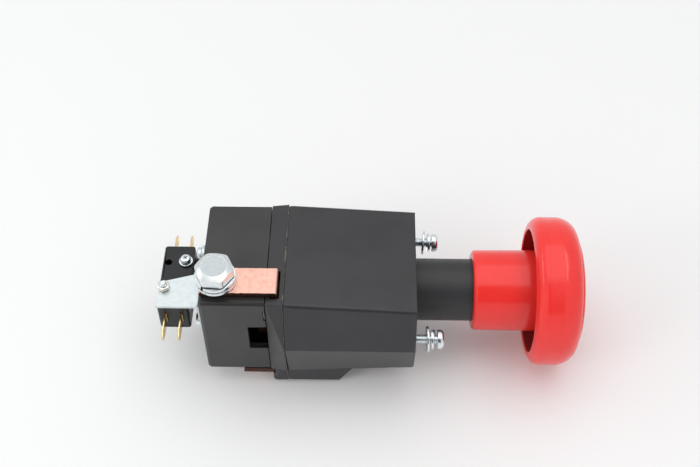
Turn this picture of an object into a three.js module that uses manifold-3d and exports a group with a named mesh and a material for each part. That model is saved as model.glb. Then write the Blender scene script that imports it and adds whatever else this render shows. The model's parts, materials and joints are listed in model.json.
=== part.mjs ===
// Push-pull emergency stop for a battery circuit: a red mushroom button on a plunger shaft opens a pair of
// bridged copper contacts and works an auxiliary microswitch on the back.
// Millimetres. X runs along the plunger from the back to the button, Z is up, and the origin is where the
// plunger's axis crosses the face that bears on the panel. The button is out, so the contacts are closed.
import * as THREE from 'three';
import { mergeVertices } from 'three/addons/utils/BufferGeometryUtils.js';
import { ConvexGeometry } from 'three/addons/geometries/ConvexGeometry.js';
import Module from 'manifold-3d';

const wasm = await Module();
wasm.setup();

// ---------------------------------------------------------------- driving dimensions

const gap = 0.3;                 // clearance between pieces that bear on each other
const travel = 12;               // stroke of the button
const overtravel = 2;            // part of the stroke that only relaxes the contact spring

const housing = {
  frontLength: 64.7, middleLength: 8.6, rearLength: 31.9,
  wall: 3.2, frontWall: 4, rearWall: 3.5,
  topHalfWidth: 32.2, waistHalfWidth: 38.9,        // creased sides of the front housing
  seamHalfHeight: 28, panelHalfHeight: 23.7,       // its top and bottom taper towards the panel
  rearHalfWidth: 31.4, rearDrop: 0.3, rearEdge: 1.4,    // the rear sits a little below the seam
};
const bulge = { depth: 10.4, lean: 1, flatLength: 26.8, ramp: 7.6, setback: 1, corner: 2.6, top: -20 };
const vent = { length: 9.2, halfHeight: 8.9 };
const latchNotch = { width: 1.1, depth: 1.2, low: 14.6, high: 22 };

const neck = { radius: 15.8, wall: 3, length: 44, flangeRadius: 19, flange: 3 };
const hub = { start: 28.8, radius: 20.4, draft: 0.4, boreDepth: 31.5, floor: 5 };
const cap = {
  rimStart: 57.8, radius: 37.8, rimInner: 31.3, rimRound: 5.8, shoulder: 70.4,
  faceStart: 81, faceRadius: 29.2,
  skin: 6.5,
};
const faceDisc = { radius: 28, thickness: 2.2, crown: 3.2 };
const buttonScrew = { shank: 3, head: 6.5, headHeight: 3.6, length: 20 };

const shaft = { radius: 5, collarReach: 2.5, collar: 2.2, clipGroove: 1 };
const detent = {
  fromSeam: 15.7, ballRadius: 2.4, lift: 0.25, grooveDepth: 1, grooveHalfWidth: 1.9, depth: 17,
  springGap: 0.2, springInset: 0.7, wire: 0.35, turns: 5,
};
const web = { halfLength: 7, wall: 3.7 };

const bar = {
  width: 16, thickness: 3, centre: 19.4, lift: 0.1, legInset: 5.8, legReach: 6, bend: 3.4, endInset: 0.3,
};
const strip = { overSeam: 2, width: 16, cornerRadius: 1.5 };
const slot = { front: 0.9, under: 0.5 };   // room for the bars in the middle housing
const contact = { size: 9, thickness: 1.8, margin: 0.9, centre: 17 };
const bridge = { endMargin: 0.5, height: 17, thickness: 4 };
const bush = { sleeveWall: 1, flangeReach: 3.6, flange: 2, sleeve: 8 };
const contactSpring = { wire: 0.8, turns: 3 };
const clip = { thickness: 1.2, reach: 4.2, mouth: 3 };
const tip = {
  radius: 4.5, length: 3.6, spigot: 2, spigotLength: 5, chamfer: 1.1, pressedGap: 2.1, hole: 2,
};

const bolt = {
  radius: 5, flats: 17, headHeight: 6.2, topRadius: 6.7, chamferSlope: 0.58, length: 17,
  inset: 8, turn: 25.5, play: 0.4,
};
const flatWasher = { radius: 10.2, thickness: 1.6 };
const springWasher = { radius: 10, thickness: 2.2, split: 0.6 };
const terminalInsert = { wall: 1.6, length: 12, bossWall: 2.4, bossFloor: 4 };

const panelScrew = { radius: 2.5, headRadius: 4.8, headHeight: 3.4, length: 16, spacing: 62 };
const looseScrews = [           // the washer stands off the panel, and the others off the one behind
  { word: 'near', side: -1, washer: 5.4, toSpring: 2, toHead: 3.3, tilt: 3 },
  { word: 'far', side: 1, washer: 4.6, toSpring: 2, toHead: 2.9, tilt: -5 },
];
const panelWasher = { radius: 6.4, thickness: 1.2 };
const panelSpring = { radius: 4.8, thickness: 2, split: 0.9 };
const insert = { wall: 1.2, length: 12, bossWall: 2.4 };
const recess = { size: 2.3, depth: 2, slot: 0.5 };

const tie = {
  radius: 2, headRadius: 3.8, headHeight: 2.8, y: 24, underSeam: 7.5, grip: 13, tipGap: 3,
  bossRadius: 4.6, rib: 2,
};

const micro = {
  standOff: 8.3, depth: 15.6, halfLength: 19.6, halfHeight: 8.6, corner: 1.4, coverThickness: 1.6,
  holeX: 4.5, holeY: 9, holeOffset: 0.5, holePlay: 0.3,
};
const blade = {
  pitch: 8, width: 6.3, thickness: 0.8, reach: 13.2, root: 4, rootThickness: 1.2, taper: 3.4, taperIn: 1.9,
  hole: 0.9, holeInset: 4.6,
};
const microButton = { y: 3.5, radius: 1.5, rise: 3, travel: 2.3, root: 3.5, crown: 0.8 };
const lever = {
  inset: 3.1, standOff: 0.9, thickness: 0.5, halfWidth: 3, length: 22.5, slope: 0.2, barrel: 0.8,
};

const plate = { thickness: 1.5, overEnd: 0.9, innerFar: 0.6, outerFar: 5, overRear: 0.3, taper: 1.2 };
const flange = {
  pad: 2.3, inner: 7.5, endRadius: 4.8, padRadius: 5, bossDepth: 4, screwY: 12.7, screwZ: 10.4,
};
const flangeScrew = { radius: 2, headRadius: 4, headHeight: 2.5, length: 9.5 };
const smallScrew = { radius: 1.5, headRadius: 2.75, headHeight: 2.2, play: 0.25 };
const smallWasher = { radius: 3.55, thickness: 1.1 };
const smallNut = { flats: 5.6, height: 2.4, proud: 1.6 };

// ---------------------------------------------------------------- places worked out from the dimensions

const frontSeamX = -housing.frontLength;
const rearSeamX = frontSeamX - housing.middleLength;
const rearX = rearSeamX - housing.rearLength;
const legFrontX = rearSeamX + bar.legInset;
const legRearX = legFrontX - bar.thickness;
const fixedFaceX = legRearX - gap - contact.thickness;
const movingFaceX = fixedFaceX - gap;
const bridgeFrontX = movingFaceX - contact.thickness - gap;
const bridgeRearX = bridgeFrontX - bridge.thickness;
const bridgeHalfLength = contact.centre + contact.size / 2 + bridge.endMargin;
const bushFrontX = bridgeFrontX + gap + bush.flange;
const bushSleeveRadius = shaft.radius + gap + bush.sleeveWall;
const bushFlangeRadius = shaft.radius + bush.flangeReach;
const collarRearX = bushFrontX + overtravel + gap;
const clipFrontX = rearX + housing.rearWall + travel + clip.thickness + 3 * gap;
const tieZ = housing.seamHalfHeight - tie.underSeam;
const rearHalfHeight = housing.seamHalfHeight - housing.rearDrop;
const barBottomZ = housing.seamHalfHeight + bar.lift;
const barTopZ = barBottomZ + bar.thickness;
const stripFrontX = rearSeamX + strip.overSeam;
const boltX = rearX + bolt.inset;
const insertRadius = bolt.radius + terminalInsert.wall;
const panelBore = panelScrew.radius + gap;
const panelInsertRadius = panelBore + insert.wall;
const shaftFrontX = hub.start + hub.boreDepth - gap;
const detentX = frontSeamX + detent.fromSeam;
const microFrontX = rearX - micro.standOff;
const microRearX = microFrontX - micro.depth;
const coverTopZ = micro.coverThickness - micro.halfHeight;
const microCentreX = (microFrontX + microRearX) / 2;
const shaftRearX = microFrontX + tip.pressedGap + travel + tip.length + gap;
const switchHoleRadius = smallScrew.radius + micro.holePlay;
const holeOuterX = microCentreX - micro.holeOffset - micro.holeX;
const holeInnerX = microCentreX - micro.holeOffset + micro.holeX;
const plateTopZ = micro.halfHeight + gap + plate.thickness;
const flangeFrontX = rearX - flange.pad;
const flangeRearX = flangeFrontX - plate.thickness;

// ---------------------------------------------------------------- finishes

const finish = (color, roughness, metalness) => new THREE.MeshStandardMaterial(
  { color, roughness, metalness });
const finishes = {
  frontPlastic: finish(0x1c1c1e, 0.5, 0),
  rearPlastic: finish(0x1a1a1a, 0.38, 0),
  neckPlastic: finish(0x151517, 0.5, 0),
  red: finish(0xd01217, 0.25, 0),
  copper: finish(0xe0997c, 0.3, 1),
  silver: finish(0xd8d8d4, 0.35, 1),
  zinc: finish(0xc3cacf, 0.3, 1),
  steel: finish(0x9a9c9f, 0.35, 1),
  spring: finish(0x6f7275, 0.4, 1),
  brass: finish(0xc9a04a, 0.35, 1),
  gold: finish(0xd7a648, 0.3, 1),
  insulator: finish(0xe6dfcc, 0.6, 0),
  microPlastic: finish(0x101114, 0.45, 0),
};

// ---------------------------------------------------------------- geometry helpers

// One closed shell: shared corners merged, collapsed triangles dropped, faces pointing out.
function closed(geometry) {
  const bare = geometry.clone();
  bare.deleteAttribute('normal');
  bare.deleteAttribute('uv');
  const merged = mergeVertices(bare, 1e-4);
  const corners = Array.from(merged.index.array);
  const kept = [];
  for (let i = 0; i < corners.length; i += 3) {
    const [a, b, c] = corners.slice(i, i + 3);
    if (a !== b && b !== c && c !== a) kept.push(a, b, c);
  }
  const p = [0, 1, 2].map(() => new THREE.Vector3());
  let volume = 0;
  for (let i = 0; i < kept.length; i += 3) {
    p.forEach((corner, k) => corner.fromBufferAttribute(merged.attributes.position, kept[i + k]));
    volume += p[0].dot(p[1].clone().cross(p[2])) / 6;
  }
  if (volume < 0) {
    for (let i = 0; i < kept.length; i += 3) [kept[i + 1], kept[i + 2]] = [kept[i + 2], kept[i + 1]];
  }
  merged.setIndex(kept);
  return merged;
}

function solid(geometry) {
  const shell = closed(geometry);
  const vertProperties = new Float32Array(shell.attributes.position.array);
  const triVerts = new Uint32Array(shell.index.array);
  return new wasm.Manifold(new wasm.Mesh({ numProp: 3, vertProperties, triVerts }));
}

function geometryOf(manifold) {
  const mesh = manifold.getMesh();
  const geometry = new THREE.BufferGeometry();
  geometry.setAttribute('position', new THREE.BufferAttribute(new Float32Array(mesh.vertProperties), 3));
  geometry.setIndex(new THREE.BufferAttribute(new Uint32Array(mesh.triVerts), 1));
  return geometry;
}

function join(first, ...others) {
  return geometryOf(others.reduce((whole, other) => whole.add(solid(other)), solid(first)));
}

function cut(first, ...tools) {
  return geometryOf(tools.reduce((whole, tool) => whole.subtract(solid(tool)), solid(first)));
}

function box([x0, x1], [y0, y1], [z0, z1]) {
  const block = new THREE.BoxGeometry(x1 - x0, y1 - y0, z1 - z0);
  return block.translate((x0 + x1) / 2, (y0 + y1) / 2, (z0 + z1) / 2);
}

// A round bar along X, at (y, z).
function rodX(radius, [x0, x1], y = 0, z = 0, sides = 24) {
  const rod = new THREE.CylinderGeometry(radius, radius, x1 - x0, sides);
  return rod.rotateZ(-Math.PI / 2).translate((x0 + x1) / 2, y, z);
}

// A round bar along Z, at (x, y).
function rodZ(radius, [z0, z1], x = 0, y = 0, sides = 20) {
  const rod = new THREE.CylinderGeometry(radius, radius, z1 - z0, sides);
  return rod.rotateX(Math.PI / 2).translate(x, y, (z0 + z1) / 2);
}

// A hexagonal bar along Z.
function hexZ(flats, [z0, z1], x = 0, y = 0) {
  const hex = new THREE.CylinderGeometry(flats / Math.sqrt(3), flats / Math.sqrt(3), z1 - z0, 6);
  return hex.rotateX(Math.PI / 2).translate(x, y, (z0 + z1) / 2);
}

function hull(points) {
  return new ConvexGeometry(points.map(([x, y, z]) => new THREE.Vector3(x, y, z)));
}

// A turned piece on the X axis; the profile is a list of [x, radius].
function turnedX(profile, sides = 24) {
  const points = profile.map(([x, r]) => new THREE.Vector2(r, x));
  return new THREE.LatheGeometry(points, sides).rotateZ(-Math.PI / 2);
}

// A turned piece on the Z axis; the profile is a list of [z, radius].
function turnedZ(profile, sides = 24) {
  const points = profile.map(([z, r]) => new THREE.Vector2(r, z));
  return new THREE.LatheGeometry(points, sides).rotateX(Math.PI / 2);
}

// Points on a quarter (or other) ellipse about (x, r).
function arc([x, r], [radiusX, radiusR], from, to, steps) {
  const points = [];
  for (let i = 0; i <= steps; i++) {
    const angle = THREE.MathUtils.degToRad(from + ((to - from) * i) / steps);
    points.push([x + radiusX * Math.cos(angle), r + radiusR * Math.sin(angle)]);
  }
  return points;
}

// An outline in the XY plane, extruded up Z.
function sheet(outline, [z0, z1], holes = []) {
  const shape = new THREE.Shape(outline.map(([x, y]) => new THREE.Vector2(x, y)));
  for (const [x, y, radius] of holes) shape.holes.push(new THREE.Path().absarc(x, y, radius, 0, 2 * Math.PI));
  const body = new THREE.ExtrudeGeometry(shape, { depth: z1 - z0, bevelEnabled: false, curveSegments: 10 });
  return body.translate(0, 0, z0);
}

// A rectangle with rounded corners, as a list of points.
function roundedRectangle([x0, x1], [y0, y1], radius, steps = 4) {
  const centres = [[x1 - radius, y1 - radius], [x0 + radius, y1 - radius],
    [x0 + radius, y0 + radius], [x1 - radius, y0 + radius]];
  return centres.flatMap((centre, i) => arc(centre, [radius, radius], 90 * i, 90 * i + 90, steps));
}

// A compression spring along Z with its ends on the planes z0 and z1.
function springZ(radius, wire, turns, [z0, z1], stepsPerTurn = 8) {
  class Helix extends THREE.Curve {
    getPoint(t) {
      const angle = t * turns * 2 * Math.PI;
      const z = THREE.MathUtils.lerp(z0 + wire, z1 - wire, t);
      return new THREE.Vector3(radius * Math.cos(angle), radius * Math.sin(angle), z);
    }
  }
  const section = new THREE.Shape().absarc(0, 0, wire, 0, 2 * Math.PI);
  const steps = Math.round(turns * stepsPerTurn);
  return new THREE.ExtrudeGeometry(section, { steps, curveSegments: 3, extrudePath: new Helix() });
}

// A split spring washer on the Z axis: one turn of square wire that climbs a little.
function splitWasher(outer, inner, thickness, split) {
  const width = outer - inner;
  const wire = thickness - split / 2;
  class Turn extends THREE.Curve {
    getPoint(t) {
      const angle = THREE.MathUtils.degToRad(8 + 344 * t);
      const radius = inner + width / 2;
      const z = wire / 2 + (thickness - wire) * t;
      return new THREE.Vector3(radius * Math.cos(angle), radius * Math.sin(angle), z);
    }
  }
  const section = new THREE.Shape([[-1, -1], [1, -1], [1, 1], [-1, 1]].map(
    ([u, v]) => new THREE.Vector2((u * wire) / 2, (v * width) / 2)));
  return new THREE.ExtrudeGeometry(section, { steps: 20, extrudePath: new Turn() });
}

const washer = (outer, inner, thickness, sides = 24) => turnedZ(
  [[0, inner], [0, outer], [thickness, outer], [thickness, inner], [0, inner]], sides);

// ---------------------------------------------------------------- assembly tree

const stop = new THREE.Group();
const upSide = new THREE.Group();
const downSide = new THREE.Group();      // the same pieces half a turn round the plunger's axis
downSide.rotation.x = Math.PI;
stop.add(upSide, downSide);

function piece(parent, name, geometry, material, at = [0, 0, 0], turn = [0, 0, 0]) {
  const mesh = new THREE.Mesh(closed(geometry), finishes[material]);
  mesh.name = name;
  mesh.position.set(...at);
  mesh.rotation.set(...turn);
  parent.add(mesh);
  return mesh;
}

const sides = [[upSide, 'upper'], [downSide, 'lower']];
const alongX = [0, Math.PI / 2, 0];      // turns a piece built along +Z to point along +X

// ---------------------------------------------------------------- housings

const halfHeightAt = (x) => THREE.MathUtils.mapLinear(
  x, frontSeamX, 0, housing.seamHalfHeight, housing.panelHalfHeight);

// The six-sided section of the front housing at x, drawn in by a wall.
function creasedSection(x, wall = 0) {
  const height = halfHeightAt(x) - wall;
  const width = housing.topHalfWidth - wall;
  const waist = housing.waistHalfWidth - wall;
  return [[x, width, height], [x, -width, height], [x, waist, 0], [x, -waist, 0],
    [x, width, -height], [x, -width, -height]];
}

// The bulge under the seam, from x0 forward to its ramp, drawn in by a wall.
function bulgeBlock(x0, x1, ramp, wall = 0) {
  const bottom = -(housing.seamHalfHeight + bulge.depth - wall);
  const width = housing.topHalfWidth - wall;
  const points = [];
  for (const side of [-1, 1]) {
    points.push([x0, side * width, bulge.top], [x1 + ramp, side * width, bulge.top]);
    points.push([x0, side * (width - bulge.lean), bottom], [x1, side * (width - bulge.lean), bottom]);
    points.push([x1 + ramp, side * width, -halfHeightAt(x1 + ramp) + 1]);
  }
  return hull(points);
}

// The rib that ties a screw boss to the side wall.
function tieRib(side, tieX) {
  const reach = [tie.y, housing.topHalfWidth].map((y) => side * y).sort((a, b) => a - b);
  return box(tieX, reach, [side * tieZ - tie.rib, side * tieZ + tie.rib]);
}

function frontHousing() {
  const rear = frontSeamX + gap / 2;
  const bulgeFront = frontSeamX + bulge.flatLength;
  const outside = join(hull([...creasedSection(rear), ...creasedSection(0)]),
    bulgeBlock(rear, bulgeFront, bulge.ramp));
  const inside = join(
    hull([...creasedSection(rear - 1, housing.wall), ...creasedSection(-housing.frontWall, housing.wall)]),
    bulgeBlock(rear - 1, bulgeFront - 2, bulge.ramp, housing.wall));
  const shell = cut(outside, inside);
  const webX = [detentX - web.halfLength, detentX + web.halfLength];
  const webHalfWidth = shaft.radius + gap + web.wall;
  const webFloor = -(housing.seamHalfHeight + bulge.depth - housing.wall / 2);
  const webTop = housing.panelHalfHeight + 1;
  const bossX = [-insert.length - gap - insert.bossWall, -housing.frontWall / 2];
  const screwY = panelScrew.spacing / 2;
  const tieX = [rear, rear + tie.grip + 2];
  const filled = join(shell,
    box(webX, [-webHalfWidth, webHalfWidth], [webFloor, webTop]),
    ...[-1, 1].map((side) => rodX(panelInsertRadius + insert.bossWall, bossX, side * screwY)),
    ...[-1, 1].map((side) => rodX(tie.bossRadius, tieX, side * tie.y, side * tieZ)),
    ...[1, -1].map((side) => tieRib(side, tieX)));
  const ballBore = detent.ballRadius + gap;
  return cut(filled,
    rodX(neck.radius + gap, [-housing.frontWall - 1, 1], 0, 0, 48),
    rodX(shaft.radius + gap, [webX[0] - 1, webX[1] + 1]),
    rodZ(ballBore, [-detent.depth, detent.depth], detentX),
    ...[-1, 1].map((side) => rodX(panelInsertRadius + gap, [-insert.length - gap, 1], side * screwY, 0, 24)),
    ...[-1, 1].map((side) => rodX(tie.radius + gap, [rear - 1, rear + tie.grip],
      side * tie.y, side * tieZ, 16)));
}

// The slots that one terminal bar needs in the middle housing, on its upper side.
function barSlots() {
  const y0 = -bar.centre - bar.width / 2 - gap;
  const y1 = -bar.centre + bar.width / 2 + gap;
  const pocket = contact.size / 2 + contact.margin;
  const slotX = legFrontX + slot.front;
  return [
    box([legRearX - gap, slotX], [y0, y1], [-bar.legReach - gap - slot.under, barTopZ]),
    box([rearSeamX - 1, slotX], [y0, y1], [barBottomZ - slot.under, barTopZ]),
    box([rearSeamX - 1, legRearX], [-contact.centre - pocket, -contact.centre + pocket], [-pocket, pocket]),
  ];
}

function middleHousing() {
  const rear = rearSeamX + gap / 2;
  const front = frontSeamX - gap / 2;
  const [width, height] = [housing.rearHalfWidth, rearHalfHeight];
  const rearSection = [[rear, width, height], [rear, -width, height], [rear, width, -height],
    [rear, -width, -height]];
  const slice = hull([...rearSection, ...creasedSection(frontSeamX).map(([, y, z]) => [front, y, z])]);
  const bottom = -(housing.seamHalfHeight + bulge.depth);
  const bulgeRear = rear + bulge.setback;
  const { corner } = bulge;
  const outline = [[bulgeRear, bulge.top], [front, bulge.top], [front, bottom],
    ...arc([bulgeRear + corner, bottom + corner], [corner, corner], 270, 180, 4)];
  const halfWidth = housing.topHalfWidth;
  const lower = hull(outline.flatMap(([x, z]) => {
    const reach = THREE.MathUtils.mapLinear(z, bulge.top, bottom, halfWidth, halfWidth - bulge.lean);
    return [[x, reach, z], [x, -reach, z]];
  }));
  const halfTurn = (geometry) => geometry.clone().rotateX(Math.PI);
  const stripSlot = box([rear - 1, stripFrontX + gap],
    [-housing.waistHalfWidth, bar.centre + bar.width / 2 + gap], [-barTopZ - gap, -barBottomZ + slot.under]);
  return cut(join(slice, lower),
    ...barSlots(), ...barSlots().map(halfTurn), stripSlot,
    rodX(bushFlangeRadius + 2 * gap, [rear - 1, front + 1]),
    ...[-1, 1].map((side) => rodX(tie.radius + gap, [rear - 1, front + 1], side * tie.y, side * tieZ, 16)));
}

function rearHousing() {
  const front = rearSeamX - gap / 2;
  const [width, height] = [housing.rearHalfWidth, rearHalfHeight];
  const { wall, rearWall, rearEdge: edge } = housing;
  const section = (x, inset) => roundedRectangle([-width + inset, width - inset],
    [-height + inset, height - inset], edge).map(([y, z]) => [x, y, z]);
  const outside = hull([...section(front, 0), ...section(rearX + edge, 0), ...section(rearX, edge / 2)]);
  const inside = box([rearX + rearWall, front + 1], [-width + wall, width - wall],
    [-height + wall, height - wall]);
  const seatY = -bar.centre;
  const bossReach = insertRadius + gap + terminalInsert.bossWall;
  const bossFloorZ = height - terminalInsert.length - gap - terminalInsert.bossFloor;
  const boss = box([rearX + rearWall / 2, boltX + bossReach], [seatY - bossReach, seatY + bossReach],
    [bossFloorZ, height - wall / 2]);
  const padRearX = flangeFrontX + gap;
  const pads = [-1, 1].map((side) => rodX(flange.padRadius, [padRearX, rearX + rearWall + flange.bossDepth],
    side * flange.screwY, side * flange.screwZ));
  const tieBosses = [-1, 1].map((side) => rodX(tie.bossRadius, [rearX + 1, front],
    side * tie.y, side * tieZ));
  const halfTurn = (geometry) => geometry.clone().rotateX(Math.PI);
  const filled = join(cut(outside, inside), boss, halfTurn(boss), ...pads, ...tieBosses);
  const pocket = [
    rodZ(insertRadius + gap, [height - terminalInsert.length - gap, height + 1], boltX, seatY, 24),
    rodZ(bolt.radius + gap, [bossFloorZ - 1, height], boltX, seatY),
  ];
  const notch = box([front - latchNotch.width, front + 1], [-width - 1, -width + latchNotch.depth],
    [latchNotch.low, latchNotch.high]);
  return cut(filled,
    ...pocket, ...pocket.map(halfTurn), notch, halfTurn(notch),
    box([front - vent.length, front + 1], [-width - 1, width + 1], [-vent.halfHeight, vent.halfHeight]),
    rodX(tip.radius + tip.hole, [rearX - 1, rearX + rearWall + 1]),
    ...[-1, 1].map((side) => rodX(flangeScrew.radius + gap,
      [padRearX - 1, rearX + rearWall + flange.bossDepth - 1],
      side * flange.screwY, side * flange.screwZ, 16)),
    ...[-1, 1].map((side) => rodX(tie.radius + gap, [rearX - 1, front + 1],
      side * tie.y, side * tieZ, 16)),
    ...[-1, 1].map((side) => rodX(tie.headRadius + gap, [rearX - 1, rearX + tie.headHeight + gap],
      side * tie.y, side * tieZ, 24)));
}

piece(stop, 'front_housing', frontHousing(), 'frontPlastic');
piece(stop, 'middle_housing', middleHousing(), 'frontPlastic');
piece(stop, 'rear_housing', rearHousing(), 'rearPlastic');

const neckRear = -housing.frontWall - gap - neck.flange;
piece(stop, 'neck_sleeve', turnedX([
  [neckRear, shaft.radius + gap], [neckRear, neck.flangeRadius], [neckRear + neck.flange, neck.flangeRadius],
  [neckRear + neck.flange, neck.radius], [neck.length - 1, neck.radius], [neck.length, neck.radius - 1],
  [neck.length, neck.radius - neck.wall], [0, neck.radius - neck.wall], [0, shaft.radius + gap],
  [neckRear, shaft.radius + gap],
], 36), 'neckPlastic');

// ---------------------------------------------------------------- button

const hubFloorX = hub.start + hub.boreDepth;
const recessX = hubFloorX + hub.floor;
const discRearX = cap.faceStart - faceDisc.thickness + 0.4;

function mushroomButton() {
  const bore = neck.radius + gap;
  const hollowX = cap.faceStart - cap.skin;
  return turnedX([
    [hubFloorX, buttonScrew.shank + gap], [hubFloorX, bore], [hub.start, bore],
    ...arc([hub.start + 1, hub.radius - 1], [1, 1], 180, 90, 2),
    ...arc([hollowX - 2, hub.radius + hub.draft + 2], [2, 2], 270, 360, 2),
    ...arc([hollowX - 3, cap.rimInner - 3], [3, 3], 0, 90, 2),
    [cap.rimStart + 0.6, cap.rimInner],
    ...arc([cap.rimStart + cap.rimRound, cap.radius - cap.rimRound], [cap.rimRound, cap.rimRound],
      180, 90, 5),
    ...arc([cap.shoulder, cap.faceRadius], [cap.faceStart - cap.shoulder, cap.radius - cap.faceRadius],
      90, 0, 7),
    [cap.faceStart, faceDisc.radius + gap], [discRearX - gap, faceDisc.radius + gap],
    [discRearX - gap, buttonScrew.head + 2], [recessX, buttonScrew.head + 2],
    [recessX, buttonScrew.shank + gap], [hubFloorX, buttonScrew.shank + gap],
  ], 36);
}

piece(stop, 'mushroom_button', mushroomButton(), 'red');
piece(stop, 'face_disc', turnedX([
  [discRearX, 0], [discRearX, faceDisc.radius],
  ...arc([discRearX + faceDisc.thickness, 0], [faceDisc.crown, faceDisc.radius], 90, 0, 6),
], 36), 'red');

const screwHeadX = recessX + gap;
piece(stop, 'button_screw', turnedX([
  [screwHeadX - buttonScrew.length, 0], [screwHeadX - buttonScrew.length, buttonScrew.shank],
  [screwHeadX, buttonScrew.shank], [screwHeadX, buttonScrew.head],
  [screwHeadX + buttonScrew.headHeight - 1, buttonScrew.head],
  [screwHeadX + buttonScrew.headHeight, buttonScrew.head - 1], [screwHeadX + buttonScrew.headHeight, 0],
], 24), 'zinc');

// ---------------------------------------------------------------- plunger

function plungerShaft() {
  const groove = (x) => [[x - detent.grooveHalfWidth, shaft.radius], [x, shaft.radius - detent.grooveDepth],
    [x + detent.grooveHalfWidth, shaft.radius]];
  const spigotBoreX = shaftRearX + tip.spigotLength + 2 * gap;
  const grooveRearX = clipFrontX - clip.thickness - 2 * gap;
  const screwBore = buttonScrew.shank + gap;
  const boreEndX = screwHeadX - buttonScrew.length - 2;
  const clipSeat = shaft.radius - shaft.clipGroove;
  const collarRadius = shaft.radius + shaft.collarReach;
  return turnedX([
    [spigotBoreX, 0], [spigotBoreX, tip.spigot + gap], [shaftRearX, tip.spigot + gap],
    [shaftRearX, shaft.radius], [grooveRearX, shaft.radius],
    [grooveRearX, clipSeat], [clipFrontX, clipSeat], [clipFrontX, shaft.radius],
    [collarRearX, shaft.radius], [collarRearX, collarRadius],
    [collarRearX + shaft.collar, collarRadius], [collarRearX + shaft.collar, shaft.radius],
    ...groove(detentX), ...groove(detentX + travel),
    [shaftFrontX, shaft.radius], [shaftFrontX, screwBore], [boreEndX, screwBore], [boreEndX, 0],
  ], 24);
}

piece(stop, 'plunger_shaft', plungerShaft(), 'steel');
piece(stop, 'shaft_tip', turnedX([
  [-tip.length, 0], [-tip.length, tip.radius - tip.chamfer], [tip.chamfer - tip.length, tip.radius],
  [0, tip.radius], [0, tip.spigot], [tip.spigotLength, tip.spigot], [tip.spigotLength, 0],
], 24), 'insulator', [shaftRearX - gap, 0, 0]);

// The retaining clip is a ring with a mouth, pushed on from the side.
function springClip() {
  const inner = shaft.radius - shaft.clipGroove + gap;
  const outer = shaft.radius + clip.reach;
  const ring = turnedX([
    [0, inner], [0, outer], [clip.thickness, outer], [clip.thickness, inner], [0, inner],
  ], 24);
  return cut(ring, box([-1, clip.thickness + 1], [-clip.mouth, clip.mouth], [-outer - 1, 0]));
}
piece(stop, 'spring_clip', springClip(), 'spring', [clipFrontX - clip.thickness - gap, 0, 0]);

for (const [side, word] of sides) {
  const ballZ = shaft.radius + detent.lift + detent.ballRadius;
  const ball = new THREE.SphereGeometry(detent.ballRadius, 12, 8);
  piece(side, `${word}_detent_ball`, ball, 'steel', [detentX, 0, ballZ]);
  const springSpan = [ballZ + detent.ballRadius + detent.springGap, detent.depth - gap];
  piece(side, `${word}_detent_spring`,
    springZ(detent.ballRadius - detent.springInset, detent.wire, detent.turns, springSpan),
    'spring', [detentX, 0, 0]);
}

// ---------------------------------------------------------------- contact bridge

const sleeveRearX = bridgeFrontX - bush.sleeve;
piece(stop, 'contact_bridge', cut(
  box([bridgeRearX, bridgeFrontX], [-bridgeHalfLength, bridgeHalfLength],
    [-bridge.height / 2, bridge.height / 2]),
  rodX(bushSleeveRadius + gap, [bridgeRearX - 1, bridgeFrontX + 1])), 'copper');
piece(stop, 'bridge_bush', turnedX([
  [sleeveRearX, shaft.radius + gap], [sleeveRearX, bushSleeveRadius],
  [bridgeFrontX + gap, bushSleeveRadius], [bridgeFrontX + gap, bushFlangeRadius],
  [bushFrontX, bushFlangeRadius], [bushFrontX, shaft.radius + gap], [sleeveRearX, shaft.radius + gap],
], 32), 'insulator');
const coilRadius = bushSleeveRadius + gap + contactSpring.wire;
piece(stop, 'contact_spring', springZ(coilRadius, contactSpring.wire, contactSpring.turns,
  [clipFrontX - bridgeRearX, -gap], 14), 'spring', [bridgeRearX, 0, 0], alongX);

const pad = box([-contact.thickness / 2, contact.thickness / 2], [-contact.size / 2, contact.size / 2],
  [-contact.size / 2, contact.size / 2]);
for (const [sign, word] of [[-1, 'near'], [1, 'far']]) {
  piece(stop, `${word}_moving_contact`, pad, 'silver',
    [movingFaceX - contact.thickness / 2, sign * contact.centre, 0]);
}

// ---------------------------------------------------------------- terminals

// A bar that lies on the housing and turns down into the middle housing; drawn in XZ, spread along Y.
function terminalBar() {
  const { bend } = bar;
  const endX = rearX + bar.endInset;
  const outline = [
    [endX, barBottomZ], [legRearX, barBottomZ], [legRearX, -bar.legReach], [legFrontX, -bar.legReach],
    ...arc([legFrontX - bend, barTopZ - bend], [bend, bend], 0, 90, 5), [endX, barTopZ],
  ];
  return sheet(outline, [0, bar.width]).rotateX(Math.PI / 2).translate(0, -bar.centre + bar.width / 2, 0);
}

const boltHole = rodZ(bolt.radius + bolt.play, [barBottomZ - 1, barTopZ + 1], boltX, -bar.centre);
const stripRearX = stripFrontX - strip.width;
const crossStrip = sheet([
  [stripFrontX, -bar.centre], [stripRearX, -bar.centre],
  ...arc([stripRearX + strip.cornerRadius, housing.rearHalfWidth - strip.cornerRadius],
    [strip.cornerRadius, strip.cornerRadius], 180, 90, 3),
  [stripFrontX, housing.rearHalfWidth],
], [barBottomZ, barTopZ]);
piece(upSide, 'upper_terminal_bar', cut(terminalBar(), boltHole), 'copper');
piece(downSide, 'lower_terminal_bar', cut(join(terminalBar(), crossStrip), boltHole), 'copper');

// A hexagon bolt on the Z axis, head up, its bearing face at z = 0.
function hexBolt() {
  const { radius, flats, headHeight, topRadius, chamferSlope, length } = bolt;
  const chamfer = turnedZ([[-1, 0], [-1, flats], [headHeight - (flats - topRadius) * chamferSlope, flats],
    [headHeight, topRadius], [headHeight, 0]], 32);
  const head = solid(hexZ(flats, [0, headHeight])).intersect(solid(chamfer));
  return join(geometryOf(head), rodZ(radius, [-length, 1]));
}

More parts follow.
